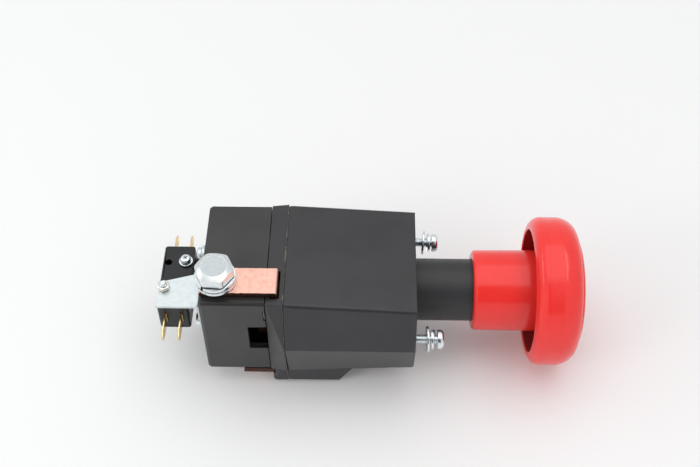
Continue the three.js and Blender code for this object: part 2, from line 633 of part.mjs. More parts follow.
const washerZ = barTopZ + gap;
const springWasherZ = washerZ + flatWasher.thickness + gap;
const boltZ = springWasherZ + springWasher.thickness + gap;
for (const [side, word] of sides) {
  const at = (z) => [boltX, -bar.centre, z];
  piece(side, `${word}_flat_washer`, washer(flatWasher.radius, bolt.radius + gap, flatWasher.thickness),
    'zinc', at(washerZ));
  piece(side, `${word}_spring_washer`,
    splitWasher(springWasher.radius, bolt.radius + gap, springWasher.thickness, springWasher.split),
    'zinc', at(springWasherZ));
  const boltTurn = [0, 0, THREE.MathUtils.degToRad(bolt.turn)];
  piece(side, `${word}_terminal_bolt`, hexBolt(), 'zinc', at(boltZ), boltTurn);
  piece(side, `${word}_terminal_insert`, washer(insertRadius, bolt.radius + gap, terminalInsert.length),
    'brass', at(rearHalfHeight - terminalInsert.length));
  piece(side, `${word}_fixed_contact`, pad, 'silver',
    [fixedFaceX + contact.thickness / 2, -contact.centre, 0]);
}

// ---------------------------------------------------------------- screws

// A pan-head screw on the Z axis, head up, its bearing face at z = 0.
function panScrew(radius, headRadius, headHeight, length, sidesRound = 16) {
  return turnedZ([
    [-length, 0], [-length, radius - 0.4], [-length + 0.6, radius], [0, radius], [0, headRadius],
    [headHeight * 0.45, headRadius], [headHeight * 0.85, headRadius * 0.82], [headHeight, headRadius * 0.5],
    [headHeight, 0],
  ], sidesRound);
}

// The two crossed slots of the recess in a head whose top is at z.
const crossRecess = (z) => [0, Math.PI / 2].map((angle) => box([-recess.size, recess.size],
  [-recess.slot, recess.slot], [z - recess.depth, z + 1]).rotateZ(angle));

for (const { word, side, washer: washerX, toSpring, toHead, tilt } of looseScrews) {
  const at = (x) => [x, (side * panelScrew.spacing) / 2, 0];
  const leaning = [0, Math.PI / 2, THREE.MathUtils.degToRad(tilt)];
  piece(stop, `${word}_panel_insert`, turnedX([
    [-insert.length, panelBore], [-insert.length, panelInsertRadius], [-gap, panelInsertRadius],
    [-gap, panelBore], [-insert.length, panelBore],
  ], 24), 'brass', at(0));
  piece(stop, `${word}_panel_washer`, washer(panelWasher.radius, panelBore, panelWasher.thickness, 24),
    'zinc', at(washerX), leaning);
  piece(stop, `${word}_panel_spring_washer`,
    splitWasher(panelSpring.radius, panelBore, panelSpring.thickness, panelSpring.split),
    'zinc', at(washerX + toSpring), alongX);
  piece(stop, `${word}_panel_screw`, cut(
    panScrew(panelScrew.radius, panelScrew.headRadius, panelScrew.headHeight, panelScrew.length, 16),
    ...crossRecess(panelScrew.headHeight)), 'zinc', at(washerX + toSpring + toHead), alongX);
}

for (const [side, word] of sides) {
  const length = frontSeamX - rearX + tie.grip - tie.tipGap - tie.headHeight;
  piece(side, `${word}_tie_screw`, panScrew(tie.radius, tie.headRadius, tie.headHeight, length, 16),
    'zinc', [rearX + tie.headHeight, tie.y, tieZ], [0, -Math.PI / 2, 0]);
}

// ---------------------------------------------------------------- auxiliary microswitch

const bladeXs = [-1, 1].map((side) => microCentreX + (side * blade.pitch) / 2);

const microOutline = roundedRectangle([microRearX, microFrontX], [-micro.halfLength, micro.halfLength],
  micro.corner);
const microHoles = [holeOuterX, holeInnerX].flatMap((x) => [-micro.holeY, micro.holeY].map(
  (y) => rodZ(switchHoleRadius, [-micro.halfHeight - 1, micro.halfHeight + 1], x, y, 16)));

function microCase() {
  const slots = [];
  for (const x of bladeXs) {
    for (const side of [-1, 1]) {
      const y = side * (micro.halfLength - blade.root / 2);
      slots.push(box([x - blade.rootThickness / 2 - gap, x + blade.rootThickness / 2 + gap],
        [y - blade.root / 2 - gap, y + blade.root / 2 + gap],
        [-blade.width / 2 - gap, blade.width / 2 + gap]));
    }
  }
  const wellX = microFrontX - microButton.root - microButton.travel - gap;
  const buttonWell = rodX(microButton.radius + gap, [wellX, microFrontX + 1], microButton.y, 0, 16);
  return cut(sheet(microOutline, [coverTopZ + gap, micro.halfHeight]), ...microHoles, ...slots, buttonWell);
}

// The cover closes the case from below.
function microCover() {
  return cut(sheet(microOutline, [-micro.halfHeight, coverTopZ]), ...microHoles);
}

piece(stop, 'microswitch_case', microCase(), 'microPlastic');
piece(stop, 'microswitch_cover', microCover(), 'microPlastic');
piece(stop, 'microswitch_button', turnedX([
  [-microButton.root, 0], [-microButton.root, microButton.radius],
  ...arc([microButton.rise - microButton.crown, microButton.radius - microButton.crown],
    [microButton.crown, microButton.crown], 90, 0, 3),
  [microButton.rise, 0],
], 16), 'insulator', [microFrontX, microButton.y, 0]);

// A blade in the YZ plane with a tapered end and a wire hole; its thicker root sits in the case.
function bladeTerminal() {
  const half = blade.width / 2;
  const { reach, taper, taperIn, thickness, rootThickness } = blade;
  const outline = [[0, -half], [reach - taper, -half], [reach, -half + taperIn],
    [reach, half - taperIn], [reach - taper, half], [0, half]];
  const tab = sheet(outline, [-thickness / 2, thickness / 2], [[reach - blade.holeInset, 0, blade.hole]]);
  const root = box([gap - blade.root, gap], [-half, half], [-rootThickness / 2, rootThickness / 2]);
  return join(tab, root).rotateX(Math.PI / 2).rotateZ(Math.PI / 2);
}

for (const [turn, word] of [[0, 'far'], [Math.PI, 'near']]) {
  bladeXs.forEach((x, i) => {
    const at = [x, word === 'far' ? micro.halfLength : -micro.halfLength, 0];
    piece(stop, `${word}_switch_terminal_${i + 1}`, bladeTerminal(), 'gold', at, [0, 0, turn]);
  });
}

// The lever pivots at its far end, in front of the cover, and slopes towards the shaft tip.
const leverPivot = [microFrontX + lever.standOff, micro.halfLength - lever.inset, 0];
const leaf = box([-lever.thickness / 2, lever.thickness / 2], [-lever.length, 0],
  [-lever.halfWidth, lever.halfWidth]);
const barrel = rodZ(lever.barrel, [-lever.halfWidth, lever.halfWidth], 0, 0, 12);
piece(stop, 'switch_lever', join(leaf, barrel), 'spring', leverPivot, [0, 0, Math.atan(lever.slope)]);

// ---------------------------------------------------------------- brackets and their screws

// A sheet-metal angle: the plate lies on the switch and the flange hangs down to its pad.
function bracket(screwX) {
  const bottomZ = plateTopZ - plate.thickness;
  const edgeX = microRearX - plate.overRear;
  const edgeY = -(micro.halfLength + plate.overEnd);
  const plateSheet = sheet([
    [edgeX, edgeY], [flangeFrontX, edgeY], [flangeFrontX, -flange.inner],
    [flangeRearX, -flange.inner], [flangeRearX, plate.innerFar], [edgeX + plate.taper, -plate.outerFar],
  ], [bottomZ, plateTopZ], [[screwX, -micro.holeY, switchHoleRadius]]);
  const foldZ = plateTopZ - plate.thickness / 2;
  const flangeOutline = [[edgeY, foldZ], [-flange.inner, foldZ],
    ...arc([-flange.screwY, -flange.screwZ], [flange.endRadius, flange.endRadius], 0, -180, 12)];
  const flangeSheet = hull(flangeOutline.flatMap(([y, z]) => [[flangeRearX, y, z], [flangeFrontX, y, z]]));
  return cut(join(plateSheet, flangeSheet),
    rodX(flangeScrew.radius + gap, [flangeRearX - 1, flangeFrontX + 1], -flange.screwY, -flange.screwZ, 16));
}

for (const [side, word, screwX] of [[upSide, 'upper', holeOuterX], [downSide, 'lower', holeInnerX]]) {
  piece(side, `${word}_switch_bracket`, bracket(screwX), 'zinc');
  piece(side, `${word}_bracket_screw`,
    panScrew(flangeScrew.radius, flangeScrew.headRadius, flangeScrew.headHeight, flangeScrew.length, 16),
    'zinc', [flangeRearX - gap, -flange.screwY, -flange.screwZ], [0, -Math.PI / 2, 0]);
}

// Two screws go through the switch: one heads up beside the empty hole, one comes up from underneath.
const gripZ = 2 * micro.halfHeight + plate.thickness + 3 * gap + smallNut.height + smallNut.proud;
for (const [side, word, holeX] of [[upSide, 'upper', holeOuterX], [downSide, 'lower', holeInnerX]]) {
  const underHead = side === downSide ? smallWasher.thickness + gap : 0;
  const nutZ = plateTopZ + gap;
  piece(side, `${word}_switch_nut`, cut(hexZ(smallNut.flats, [0, smallNut.height]),
    rodZ(smallScrew.radius + smallScrew.play, [-1, smallNut.height + 1], 0, 0, 16)),
    'zinc', [holeX, -micro.holeY, nutZ]);
  const headZ = -(micro.halfHeight + gap + underHead);
  piece(side, `${word}_switch_screw`,
    panScrew(smallScrew.radius, smallScrew.headRadius, smallScrew.headHeight,
      gripZ + underHead, 16),
    'zinc', [holeX, -micro.holeY, headZ], [Math.PI, 0, 0]);
}
piece(downSide, 'switch_screw_washer', washer(smallWasher.radius, smallScrew.radius + smallScrew.play,
  smallWasher.thickness),
  'zinc', [holeInnerX, -micro.holeY, -(micro.halfHeight + gap + smallWasher.thickness)]);

export default stop;
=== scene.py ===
"""Push-pull emergency stop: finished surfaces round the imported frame. X runs along the plunger towards
the button, and Z is up. Pieces are made in millimetres until build() turns them into metres; the floor,
the lamps and the camera are in metres. A piece's word is its side: upper or lower, near or far."""
import json
import math
import bmesh
import bpy
from mathutils import Euler, Matrix, Vector, noise
from mathutils.geometry import convex_hull_2d


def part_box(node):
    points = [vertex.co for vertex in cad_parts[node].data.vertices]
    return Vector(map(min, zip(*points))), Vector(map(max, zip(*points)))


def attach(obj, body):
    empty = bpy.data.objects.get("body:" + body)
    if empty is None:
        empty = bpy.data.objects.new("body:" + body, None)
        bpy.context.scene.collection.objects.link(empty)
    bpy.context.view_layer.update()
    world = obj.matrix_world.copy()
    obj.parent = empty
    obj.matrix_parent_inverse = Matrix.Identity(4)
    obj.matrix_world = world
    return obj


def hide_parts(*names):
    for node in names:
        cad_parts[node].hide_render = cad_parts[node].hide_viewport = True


MM = 0.001
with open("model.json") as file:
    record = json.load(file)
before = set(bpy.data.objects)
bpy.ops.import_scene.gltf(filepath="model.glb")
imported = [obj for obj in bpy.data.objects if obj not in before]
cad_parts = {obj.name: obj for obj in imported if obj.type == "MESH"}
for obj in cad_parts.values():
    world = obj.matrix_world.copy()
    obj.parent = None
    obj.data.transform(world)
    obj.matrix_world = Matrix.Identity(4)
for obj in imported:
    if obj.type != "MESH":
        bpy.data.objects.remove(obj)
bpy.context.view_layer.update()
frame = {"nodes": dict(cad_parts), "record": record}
scene = bpy.context.scene
HALF_TURN = Matrix.Rotation(math.pi, 4, "X")      # the lower side is the upper side, half a turn round
UP = Matrix.Rotation(-math.pi / 2, 4, "Y")        # turns the X axis to point up
X, Y, Z = range(3)

# ------------------------------------------------------------------ places read from the frame

behaviour = frame["record"]["behaviour"]
BODY_OF = {node: body for body, nodes in behaviour["bodies"].items() for node in nodes}
SLOT_OF = {part["node"]: part["material_slot"] for part in frame["record"]["subparts"]}


def box(node):
    """Lowest and highest corner of a CAD node, in millimetres."""
    low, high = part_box(node)
    return low / MM, high / MM


def centre(node):
    low, high = box(node)
    return (low + high) / 2


# ------------------------------------------------------------------ shader helpers


class Surface:
    """A material with one Principled shader, and short calls for the nodes that feed it."""

    def __init__(self, name, colour, roughness, metallic=0.0, **constants):
        self.material = bpy.data.materials.new(name)
        self.material.use_nodes = True
        self.tree = self.material.node_tree
        self.shader = self.tree.nodes["Principled BSDF"]
        self.shader.inputs["Base Color"].default_value = (*colour, 1)
        self.shader.inputs["Roughness"].default_value = roughness
        self.shader.inputs["Metallic"].default_value = metallic
        for socket, value in constants.items():
            self.shader.inputs[socket.replace("_", " ")].default_value = value
        self.place = self.tree.nodes.new("ShaderNodeTexCoord").outputs["Object"]
        self.normal = None

    def feed(self, socket, value):
        if isinstance(value, bpy.types.NodeSocket):
            self.tree.links.new(value, socket)
        else:
            socket.default_value = value

    def stretched(self, scale, turn=(0, 0, 0)):
        """Turned and scaled coordinates: a small scale along one axis draws a noise out into lines."""
        mapping = self.tree.nodes.new("ShaderNodeMapping")
        mapping.inputs["Rotation"].default_value = turn
        mapping.inputs["Scale"].default_value = scale
        self.feed(mapping.inputs["Vector"], self.place)
        return mapping.outputs["Vector"]

    def noise(self, size, detail=3.0, vector=None):
        """Noise with features of about that many millimetres."""
        node = self.tree.nodes.new("ShaderNodeTexNoise")
        self.feed(node.inputs["Vector"], vector or self.place)
        node.inputs["Scale"].default_value = 1 / (size * MM)
        node.inputs["Detail"].default_value = detail
        return node.outputs["Fac"]

    def specks(self, spacing, size):
        """Small dots of that size, one for each cell of that spacing, in millimetres; 1 on a dot."""
        node = self.tree.nodes.new("ShaderNodeTexVoronoi")
        self.feed(node.inputs["Vector"], self.place)
        node.inputs["Scale"].default_value = 1 / (spacing * MM)
        return self.ramp(node.outputs["Distance"], size / spacing * 0.6, size / spacing, 1, 0)

    def ramp(self, value, low, high, start, end):
        """Turns low to high into start to end, and holds there."""
        node = self.tree.nodes.new("ShaderNodeMapRange")
        self.feed(node.inputs["Value"], value)
        for socket, number in zip(("From Min", "From Max", "To Min", "To Max"), (low, high, start, end)):
            node.inputs[socket].default_value = number
        return node.outputs["Result"]

    def maths(self, operation, first, second):
        node = self.tree.nodes.new("ShaderNodeMath")
        node.operation = operation
        self.feed(node.inputs[0], first)
        self.feed(node.inputs[1], second)
        return node.outputs[0]

    def mix(self, factor, first, second):
        node = self.tree.nodes.new("ShaderNodeMix")
        node.data_type = "RGBA"
        self.feed(node.inputs["Factor"], factor)
        for socket, colour in ((node.inputs["A"], first), (node.inputs["B"], second)):
            self.feed(socket, colour if isinstance(colour, bpy.types.NodeSocket) else (*colour, 1))
        return node.outputs["Result"]

    def colour(self, value):
        self.feed(self.shader.inputs["Base Color"], value)
        return self

    def roughness(self, value):
        self.feed(self.shader.inputs["Roughness"], value)
        return self

    def bump(self, height, depth):
        """Adds a bump of that depth in millimetres on top of the ones before it."""
        node = self.tree.nodes.new("ShaderNodeBump")
        node.inputs["Strength"].default_value = 1
        node.inputs["Distance"].default_value = depth * MM
        self.feed(node.inputs["Height"], height)
        if self.normal is not None:
            self.feed(node.inputs["Normal"], self.normal)
        self.normal = node.outputs["Normal"]
        self.feed(self.shader.inputs["Normal"], self.normal)
        return self


# ------------------------------------------------------------------ materials


def moulded(name, colour, dust, roughness, grain, grain_depth, dust_spacing=7.0):
    """Moulded plastic: spark-eroded grain, slight flow clouding, handling marks and specks of dust."""
    darker, paler, speck_size, speck_cover, speck_dullness, sink = 0.86, 1.16, 0.13, 0.45, 0.2, 0.04
    surface = Surface(name, colour, roughness)
    clouds = surface.noise(26, 2)
    marks = surface.noise(5, 5, surface.stretched((1, 3.2, 1.4), (0.3, 0.2, 0.5)))
    tone = surface.mix(surface.ramp(clouds, 0.35, 0.68, 0, 1), [c * darker for c in colour],
                       [c * paler for c in colour])
    specks = surface.specks(dust_spacing, speck_size)
    surface.colour(surface.mix(surface.maths("MULTIPLY", specks, speck_cover), tone, dust))
    polish = surface.ramp(marks, 0.35, 0.8, roughness * 0.97, roughness * 1.06)
    surface.roughness(surface.maths("ADD", polish, surface.maths("MULTIPLY", specks, speck_dullness)))
    surface.bump(clouds, sink)
    surface.bump(surface.noise(grain, 2), grain_depth)
    return surface.material


def red_gloss(name):
    """Polished red moulding with faint swirls, fine scratches and a few pinholes."""
    red, deep = (0.94, 0.040, 0.034), (0.90, 0.034, 0.029)
    surface = Surface(name, red, 0.16, Specular_IOR_Level=0.5)
    clouds = surface.noise(18, 2)
    surface.colour(surface.mix(surface.ramp(clouds, 0.38, 0.66, 0, 1), red, deep))
    scratches = surface.noise(0.6, 4, surface.stretched((0.12, 1, 1), (0.5, 0.9, 0.2)))
    surface.roughness(surface.ramp(scratches, 0.45, 0.8, 0.14, 0.24))
    surface.bump(clouds, 0.06)
    surface.bump(surface.noise(2.4, 2), 0.006)
    surface.bump(surface.specks(9, 0.16), 0.03)
    return surface.material


def plated(name, colour, roughness, tint, grain=0.25, depth=0.006, spangle=3.0):
    """Plated steel: a soft cloudy film over fine pickled grain, a little duller in patches."""
    surface = Surface(name, colour, roughness, metallic=1.0)
    film = surface.noise(spangle, 2)
    surface.colour(surface.mix(surface.ramp(film, 0.35, 0.7, 0, 1), colour, tint))
    patches = surface.noise(spangle * 0.5, 2)
    surface.roughness(surface.ramp(patches, 0.35, 0.7, roughness * 0.85, roughness * 1.2))
    surface.bump(surface.noise(grain, 1), depth)
    return surface.material


def copper_strip(name):
    """Bare rolled copper: rolling lines along X, pale fresh metal and warmer stains."""
    pale, warm = (0.95, 0.59, 0.49), (0.88, 0.47, 0.36)
    surface = Surface(name, pale, 0.34, metallic=1.0)
    rolling = surface.noise(0.35, 4, surface.stretched((0.06, 1, 1)))
    stains = surface.noise(2.4, 6)
    surface.colour(surface.mix(surface.ramp(stains, 0.42, 0.72, 0, 1), pale, warm))
    surface.roughness(surface.ramp(rolling, 0.3, 0.75, 0.27, 0.44))
    surface.bump(rolling, 0.012)
    surface.bump(surface.noise(0.9, 3), 0.012)
    surface.bump(surface.specks(3, 0.2), 0.04)
    return surface.material


def brushed(name, colour, roughness, turn=(0, 0, 0)):
    """Drawn or turned metal with fine tool lines and darker patches."""
    tarnish = 0.78
    surface = Surface(name, colour, roughness, metallic=1.0)
    lines = surface.noise(0.2, 3, surface.stretched((1, 0.1, 0.1), turn))
    surface.colour(surface.mix(surface.ramp(surface.noise(4, 3), 0.35, 0.7, 0, 1), colour,
                               [c * tarnish for c in colour]))
    surface.roughness(surface.ramp(lines, 0.3, 0.75, roughness * 0.8, roughness * 1.25))
    return surface.bump(lines, 0.008).material


BLACK_DUST = (0.30, 0.29, 0.27)
MATERIALS = {
    "front_plastic": moulded("front_plastic", (0.026, 0.0265, 0.0295), BLACK_DUST, roughness=0.29,
                             grain=0.22, grain_depth=0.003),
    "rear_plastic": moulded("rear_plastic", (0.031, 0.0315, 0.0305), BLACK_DUST, roughness=0.31,
                            grain=0.45, grain_depth=0.004, dust_spacing=10),
    "neck_plastic": moulded("neck_plastic", (0.024, 0.0245, 0.027), BLACK_DUST, roughness=0.45,
                            grain=0.3, grain_depth=0.006, dust_spacing=9),
    "switch_plastic": moulded("switch_plastic", (0.008, 0.009, 0.011), BLACK_DUST, roughness=0.34,
                              grain=0.2, grain_depth=0.004, dust_spacing=12),
    "insulator": moulded("insulator", (0.74, 0.69, 0.58), (0.4, 0.36, 0.28), roughness=0.5,
                         grain=0.3, grain_depth=0.006, dust_spacing=9),
    "red_plastic": red_gloss("red_plastic"),
    "copper": copper_strip("copper"),
    "zinc": plated("zinc", (0.85, 0.90, 0.92), 0.17, (0.76, 0.82, 0.85), grain=1.0, depth=0.003),
    "steel": brushed("steel", (0.52, 0.53, 0.54), 0.3),
    "spring_steel": brushed("spring_steel", (0.33, 0.34, 0.35), 0.35),
    "silver": plated("silver", (0.80, 0.79, 0.76), 0.35, (0.62, 0.60, 0.56)),
    "brass": brushed("brass", (0.72, 0.50, 0.20), 0.33),
    "gold_blade": plated("gold_blade", (0.96, 0.76, 0.40), 0.22, (0.88, 0.64, 0.28), grain=0.3,
                         depth=0.0015),
}
SHEET_ZINC = plated("sheet_zinc", (0.78, 0.85, 0.86), 0.40, (0.72, 0.79, 0.81), grain=0.4, depth=0.005,
                    spangle=2.4)
# Painted shade: the bolt head's flat top is a darker copy of the bolt's zinc; its greater roughness is a
# satin finish of its own.
BOLT_TOP = plated("bolt_top_painted_shade", (0.62, 0.68, 0.69), 0.42, (0.57, 0.63, 0.645), grain=0.8, depth=0.004,
                  spangle=2.2)
BOLT_ZINC = plated("bolt_zinc", (0.85, 0.885, 0.90), 0.27, (0.80, 0.84, 0.86), grain=1.8, depth=0.004)
# Painted shade: the contact bridge inside the housing is coloured a near-black copper.
DULL_COPPER = brushed("bridge_copper_painted_shade", (0.09, 0.045, 0.03), 0.6)
# Painted shade: the bars' sheared side faces are coloured dark brown copper; only their rougher,
# cross-lined finish is their own.
SHEARED_COPPER = brushed("sheared_side_painted_shade", (0.11, 0.055, 0.038), 0.5, turn=(0, 0, math.pi / 2))
NUT_ZINC = plated("nut_zinc", (0.84, 0.83, 0.76), 0.28, (0.66, 0.66, 0.60))
# Painted shade: the hollow inside the mushroom is the same red moulding, coloured much darker.
RED_INSIDE = moulded("red_hollow_painted_shade", (0.30, 0.006, 0.008), (0.45, 0.1, 0.1), roughness=0.5,
                     grain=0.3, grain_depth=0.01)

for node_name, node_object in frame["nodes"].items():
    node_object.data.materials.clear()
    node_object.data.materials.append(MATERIALS[SLOT_OF[node_name]])
# the contact bridge takes the dark copper of painted shade
frame["nodes"]["contact_bridge"].data.materials[0] = DULL_COPPER

# ------------------------------------------------------------------ mesh helpers


def build(name, bm, nodes, material=None, smooth=32, turned=False, stands=True):
    """Makes one piece from a mesh in millimetres. It rides with the CAD nodes named, and stands for them
    unless stands is off. Edges that turn by more than smooth degrees stay sharp."""
    if turned:
        bm.transform(HALF_TURN)
    bmesh.ops.recalc_face_normals(bm, faces=bm.faces)
    bm.transform(Matrix.Scale(MM, 4))
    mesh = bpy.data.meshes.new(name)
    bm.to_mesh(mesh)
    bm.free()
    own = material if isinstance(material, list) else [material or MATERIALS[SLOT_OF[nodes[0]]]]
    for each in own:
        mesh.materials.append(each)
    mesh.shade_smooth()
    mesh.set_sharp_from_angle(angle=math.radians(smooth))
    piece = bpy.data.objects.new(name, mesh)
    scene.collection.objects.link(piece)
    weighted = piece.modifiers.new("weighted", "WEIGHTED_NORMAL")
    weighted.keep_sharp = True
    weighted.weight = 90
    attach(piece, BODY_OF[nodes[0]])
    if stands:
        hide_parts(*nodes)
    return piece


def face(bm, corners):
    """A face round the given corners, without the ones that repeat."""
    kept = [corner for i, corner in enumerate(corners) if corner not in corners[:i]]
    return bm.faces.new(kept) if len(kept) > 2 else None


def bridge(bm, rings, capped=True):
    """Joins each ring of vertices to the next with faces; capped closes the first and the last ring."""
    for first, second in zip(rings, rings[1:]):
        for i in range(len(first)):
            j = (i + 1) % len(first)
            face(bm, [first[i], first[j], second[j], second[i]])
    if capped:
        bm.faces.new(rings[0])
        bm.faces.new(rings[-1])
    return bm


def full_turn(sides, shift=0):
    """Evenly spaced angles round one full turn, in radians."""
    return [2 * math.pi * (i + shift) / sides for i in range(sides)]


def arc(middle, radius, start, end, steps):
    """Points on an arc about middle; radius is one number or a pair."""
    radii = radius if isinstance(radius, tuple) else (radius, radius)
    turns = [math.radians(start + (end - start) * i / steps) for i in range(steps + 1)]
    return [(middle[0] + radii[0] * math.cos(t), middle[1] + radii[1] * math.sin(t)) for t in turns]


def filleted(points, radius, steps=4):
    """An open profile with every inner corner rounded, by less where its sides are short."""
    rounded = [points[0]]
    for before, corner, after in zip(points, points[1:], points[2:]):
        into, out = Vector(before) - Vector(corner), Vector(after) - Vector(corner)
        reach = min(radius, into.length * 0.45, out.length * 0.45)
        start, end = Vector(corner) + into.normalized() * reach, Vector(corner) + out.normalized() * reach
        for i in range(steps + 1):
            t = i / steps
            rounded.append(tuple(start * (1 - t) ** 2 + Vector(corner) * 2 * t * (1 - t) + end * t ** 2))
    return rounded + [points[-1]]


def lathe(profile, sides=128):
    """Turns a profile of (x, radius) about the X axis. It starts and ends on the axis, or closes."""
    on_axis = 1e-6
    bm = bmesh.new()
    rings = []
    for x, radius in profile:
        if radius < on_axis:
            rings.append([bm.verts.new((x, 0, 0))] * sides)
        else:
            rings.append([bm.verts.new((x, radius * math.cos(t), radius * math.sin(t)))
                          for t in full_turn(sides)])
    if profile[0] == profile[-1]:
        bmesh.ops.delete(bm, geom=rings[-1], context="VERTS")
        rings[-1] = rings[0]
    return bridge(bm, rings, capped=False)


def placed(bm, at, turn=None):
    """Moves a mesh built on the X axis at the origin to its place."""
    if turn is not None:
        bm.transform(turn)
    bm.transform(Matrix.Translation(at))
    return bm


def merged(*meshes):
    """Several meshes as one; the parts keep their own closed shells."""
    whole = bmesh.new()
    for bm in meshes:
        part = bpy.data.meshes.new("part")
        bm.to_mesh(part)
        bm.free()
        whole.from_mesh(part)
        bpy.data.meshes.remove(part)
    return whole


def carved(bm, *cutters, operation="DIFFERENCE"):
    """Cuts meshes out of bm, or joins them on, with the exact boolean."""
    for cutter in cutters:
        pair = []
        for each in (bm, cutter):
            bmesh.ops.recalc_face_normals(each, faces=each.faces)
            mesh = bpy.data.meshes.new("cut")
            each.to_mesh(mesh)
            each.free()
            pair.append(bpy.data.objects.new("cut", mesh))
            scene.collection.objects.link(pair[-1])
        modifier = pair[0].modifiers.new("cut", "BOOLEAN")
        modifier.operation, modifier.object, modifier.solver = operation, pair[1], "EXACT"
        bpy.context.view_layer.update()
        result = pair[0].evaluated_get(bpy.context.evaluated_depsgraph_get()).to_mesh()
        bm = bmesh.new()
        bm.from_mesh(result)
        for each in pair:
            mesh = each.data
            bpy.data.objects.remove(each)
            bpy.data.meshes.remove(mesh)
    return bm


def block(low, high):
    """A box between two corners, for cutting with."""
    bm = bmesh.new()
    bmesh.ops.create_cube(bm, size=1)
    low, high = Vector(low), Vector(high)
    bm.transform(Matrix.Translation((low + high) / 2) @ Matrix.Diagonal((*(high - low), 1)))
    return bm


def rounded_edges(node, *passes):
    """The CAD node's shape with its outward edges rounded: each pass is (radius, shortest edge, choose),
    and choose is given the edge's middle, the edge and how far its faces turn, in radians."""
    weld, flatness, least_turn = 0.002, math.radians(1), math.radians(12)
    bm = bmesh.new()
    bm.from_mesh(frame["nodes"][node].data)
    bm.transform(Matrix.Scale(1 / MM, 4))
    bmesh.ops.remove_doubles(bm, verts=bm.verts, dist=weld)
    bmesh.ops.dissolve_limit(bm, angle_limit=flatness, verts=bm.verts, edges=bm.edges)
    bmesh.ops.recalc_face_normals(bm, faces=bm.faces)
    for radius, shortest, choose in passes:
        chosen = []
        for edge in bm.edges:
            if not edge.is_manifold or edge.calc_length() < shortest:
                continue
            turn = edge.calc_face_angle_signed(0)
            middle = (edge.verts[0].co + edge.verts[1].co) / 2
            if turn > least_turn and choose(middle, edge, turn):
                chosen.append(edge)
        bmesh.ops.bevel(bm, geom=chosen, offset=radius, offset_type="OFFSET", segments=4, profile=0.5,
                        affect="EDGES", clamp_overlap=False)
    return bm


def everywhere(middle, edge, turn):
    return True


def reach_along(edge, axis):
    """How far an edge runs along one axis."""
    return abs(edge.verts[0].co[axis] - edge.verts[1].co[axis])


def helix(radius, section, turns, pitch, steps_per_turn, start):
    """Sweeps a closed section of (out, along) points round the X axis, climbing by pitch each turn."""
    bm = bmesh.new()
    rings = []
    steps = round(turns * steps_per_turn)
    for i in range(steps + 1):
        angle = start + 2 * math.pi * turns * i / steps
        climb = pitch * turns * i / steps
        rings.append([bm.verts.new((climb + along, (radius + out) * math.cos(angle),
                                    (radius + out) * math.sin(angle))) for out, along in section])
    return bridge(bm, rings)


def rounded_section(width, height, radius, steps=3):
    """A rectangle with round corners, about its middle."""
    points = []
    for i, (u, v) in enumerate(((1, 1), (-1, 1), (-1, -1), (1, -1))):
        middle = (u * (width / 2 - radius), v * (height / 2 - radius))
        points += arc(middle, radius, 90 * i, 90 * i + 90, steps)
    return points


# ------------------------------------------------------------------ fasteners, built along +X from x = 0

M10, M5, M4, M3 = (5, 1.5), (2.5, 0.8), (2, 0.7), (1.5, 0.5)     # radius and pitch of each thread


def threaded(radius, pitch, length, depth=None, sides=40):
    """A threaded shank from x = -length to 0, with a chamfered end."""
    depth = depth or pitch * 0.55
    rows_per_pitch = 10
    root_width, flank_slope = 1.6, 4.4                # of the thread's outline, where one pitch is 1
    rows = max(4, round(length / pitch * rows_per_pitch))
    bm = bmesh.new()
    rings = []
    for row in range(rows + 1):
        x = -length + length * row / rows
        end = max(0, 1 - (x + length) / pitch)
        ring = []
        for i, turn in enumerate(full_turn(sides)):
            phase = (x / pitch - i / sides) % 1
            root = min(1, max(0, root_width - abs(phase - 0.5) * flank_slope))
            r = radius - depth * max(root, end)
            ring.append(bm.verts.new((x, r * math.cos(turn), r * math.sin(turn))))
        rings.append(ring)
    return bridge(bm, rings)


def hexagon(flats, height, circle, bore=0.0, both=False, dish=0.0, sides=144):
    """A hexagon with its corners turned off at the top, or at both ends, down to a flat circle; bore
    leaves it a ring, and dish sinks the circle inside a narrow rim."""
    corner = flats / math.sqrt(3) - 0.02 * flats      # slightly blunt
    slope = math.tan(math.radians(30))
    rim, crown = 0.35, 0.02
    bm = bmesh.new()

    def hexagonal(turn):
        return min(flats / 2 / math.cos((turn % (math.pi / 3)) - math.pi / 6), corner)

    def ring(radius_at, height_at):
        made = []
        for turn in full_turn(sides, 0.5):
            r = radius_at(turn)
            made.append(bm.verts.new((height_at(r), r * math.cos(turn), r * math.sin(turn))))
        return made

    rings = []
    if both:
        rings.append(ring(lambda t: circle, lambda r: 0))
        rings.append(ring(hexagonal, lambda r: (r - circle) * slope))
    else:
        rings.append(ring(hexagonal, lambda r: 0))
    rings.append(ring(hexagonal, lambda r: height - (r - circle) * slope))
    rings.append(ring(lambda t: circle, lambda r: height))
    rings.append(ring(lambda t: circle - rim, lambda r: height + crown))
    if dish:
        rings.append(ring(lambda t: circle - 2 * rim, lambda r: height - dish))
    if bore:
        edge = 0.12 * bore
        rings.append(ring(lambda t: bore + edge, lambda r: height))
        rings.append(ring(lambda t: bore, lambda r: height - edge))
        rings.append(ring(lambda t: bore, lambda r: edge))
        rings.append(ring(lambda t: bore + edge, lambda r: 0))
        rings.append(rings[0])
    return bridge(bm, rings, capped=not bore)


def flat_washer(radius, bore, thickness, edge=0.25):
    """A washer or a short tube, with all its edges rounded."""
    start = (0, (radius + bore) / 2)
    ring = filleted([start, (0, radius), (thickness, radius), (thickness, bore), (0, bore), start], edge)
    return lathe(ring[:-1] + [ring[0]], 96)


def split_washer(radius, bore, thickness, split, gap_degrees, start):
    """A spring washer: one turn of square wire that climbs by the split; start is where its gap is."""
    width, wire = radius - bore, thickness - split
    section = rounded_section(width, wire, min(width, wire) * 0.16)
    turns = 1 - gap_degrees / 360
    bm = helix((radius + bore) / 2, section, turns, split / turns, steps_per_turn=110, start=start)
    bm.transform(Matrix.Translation((wire / 2, 0, 0)))
    return bm


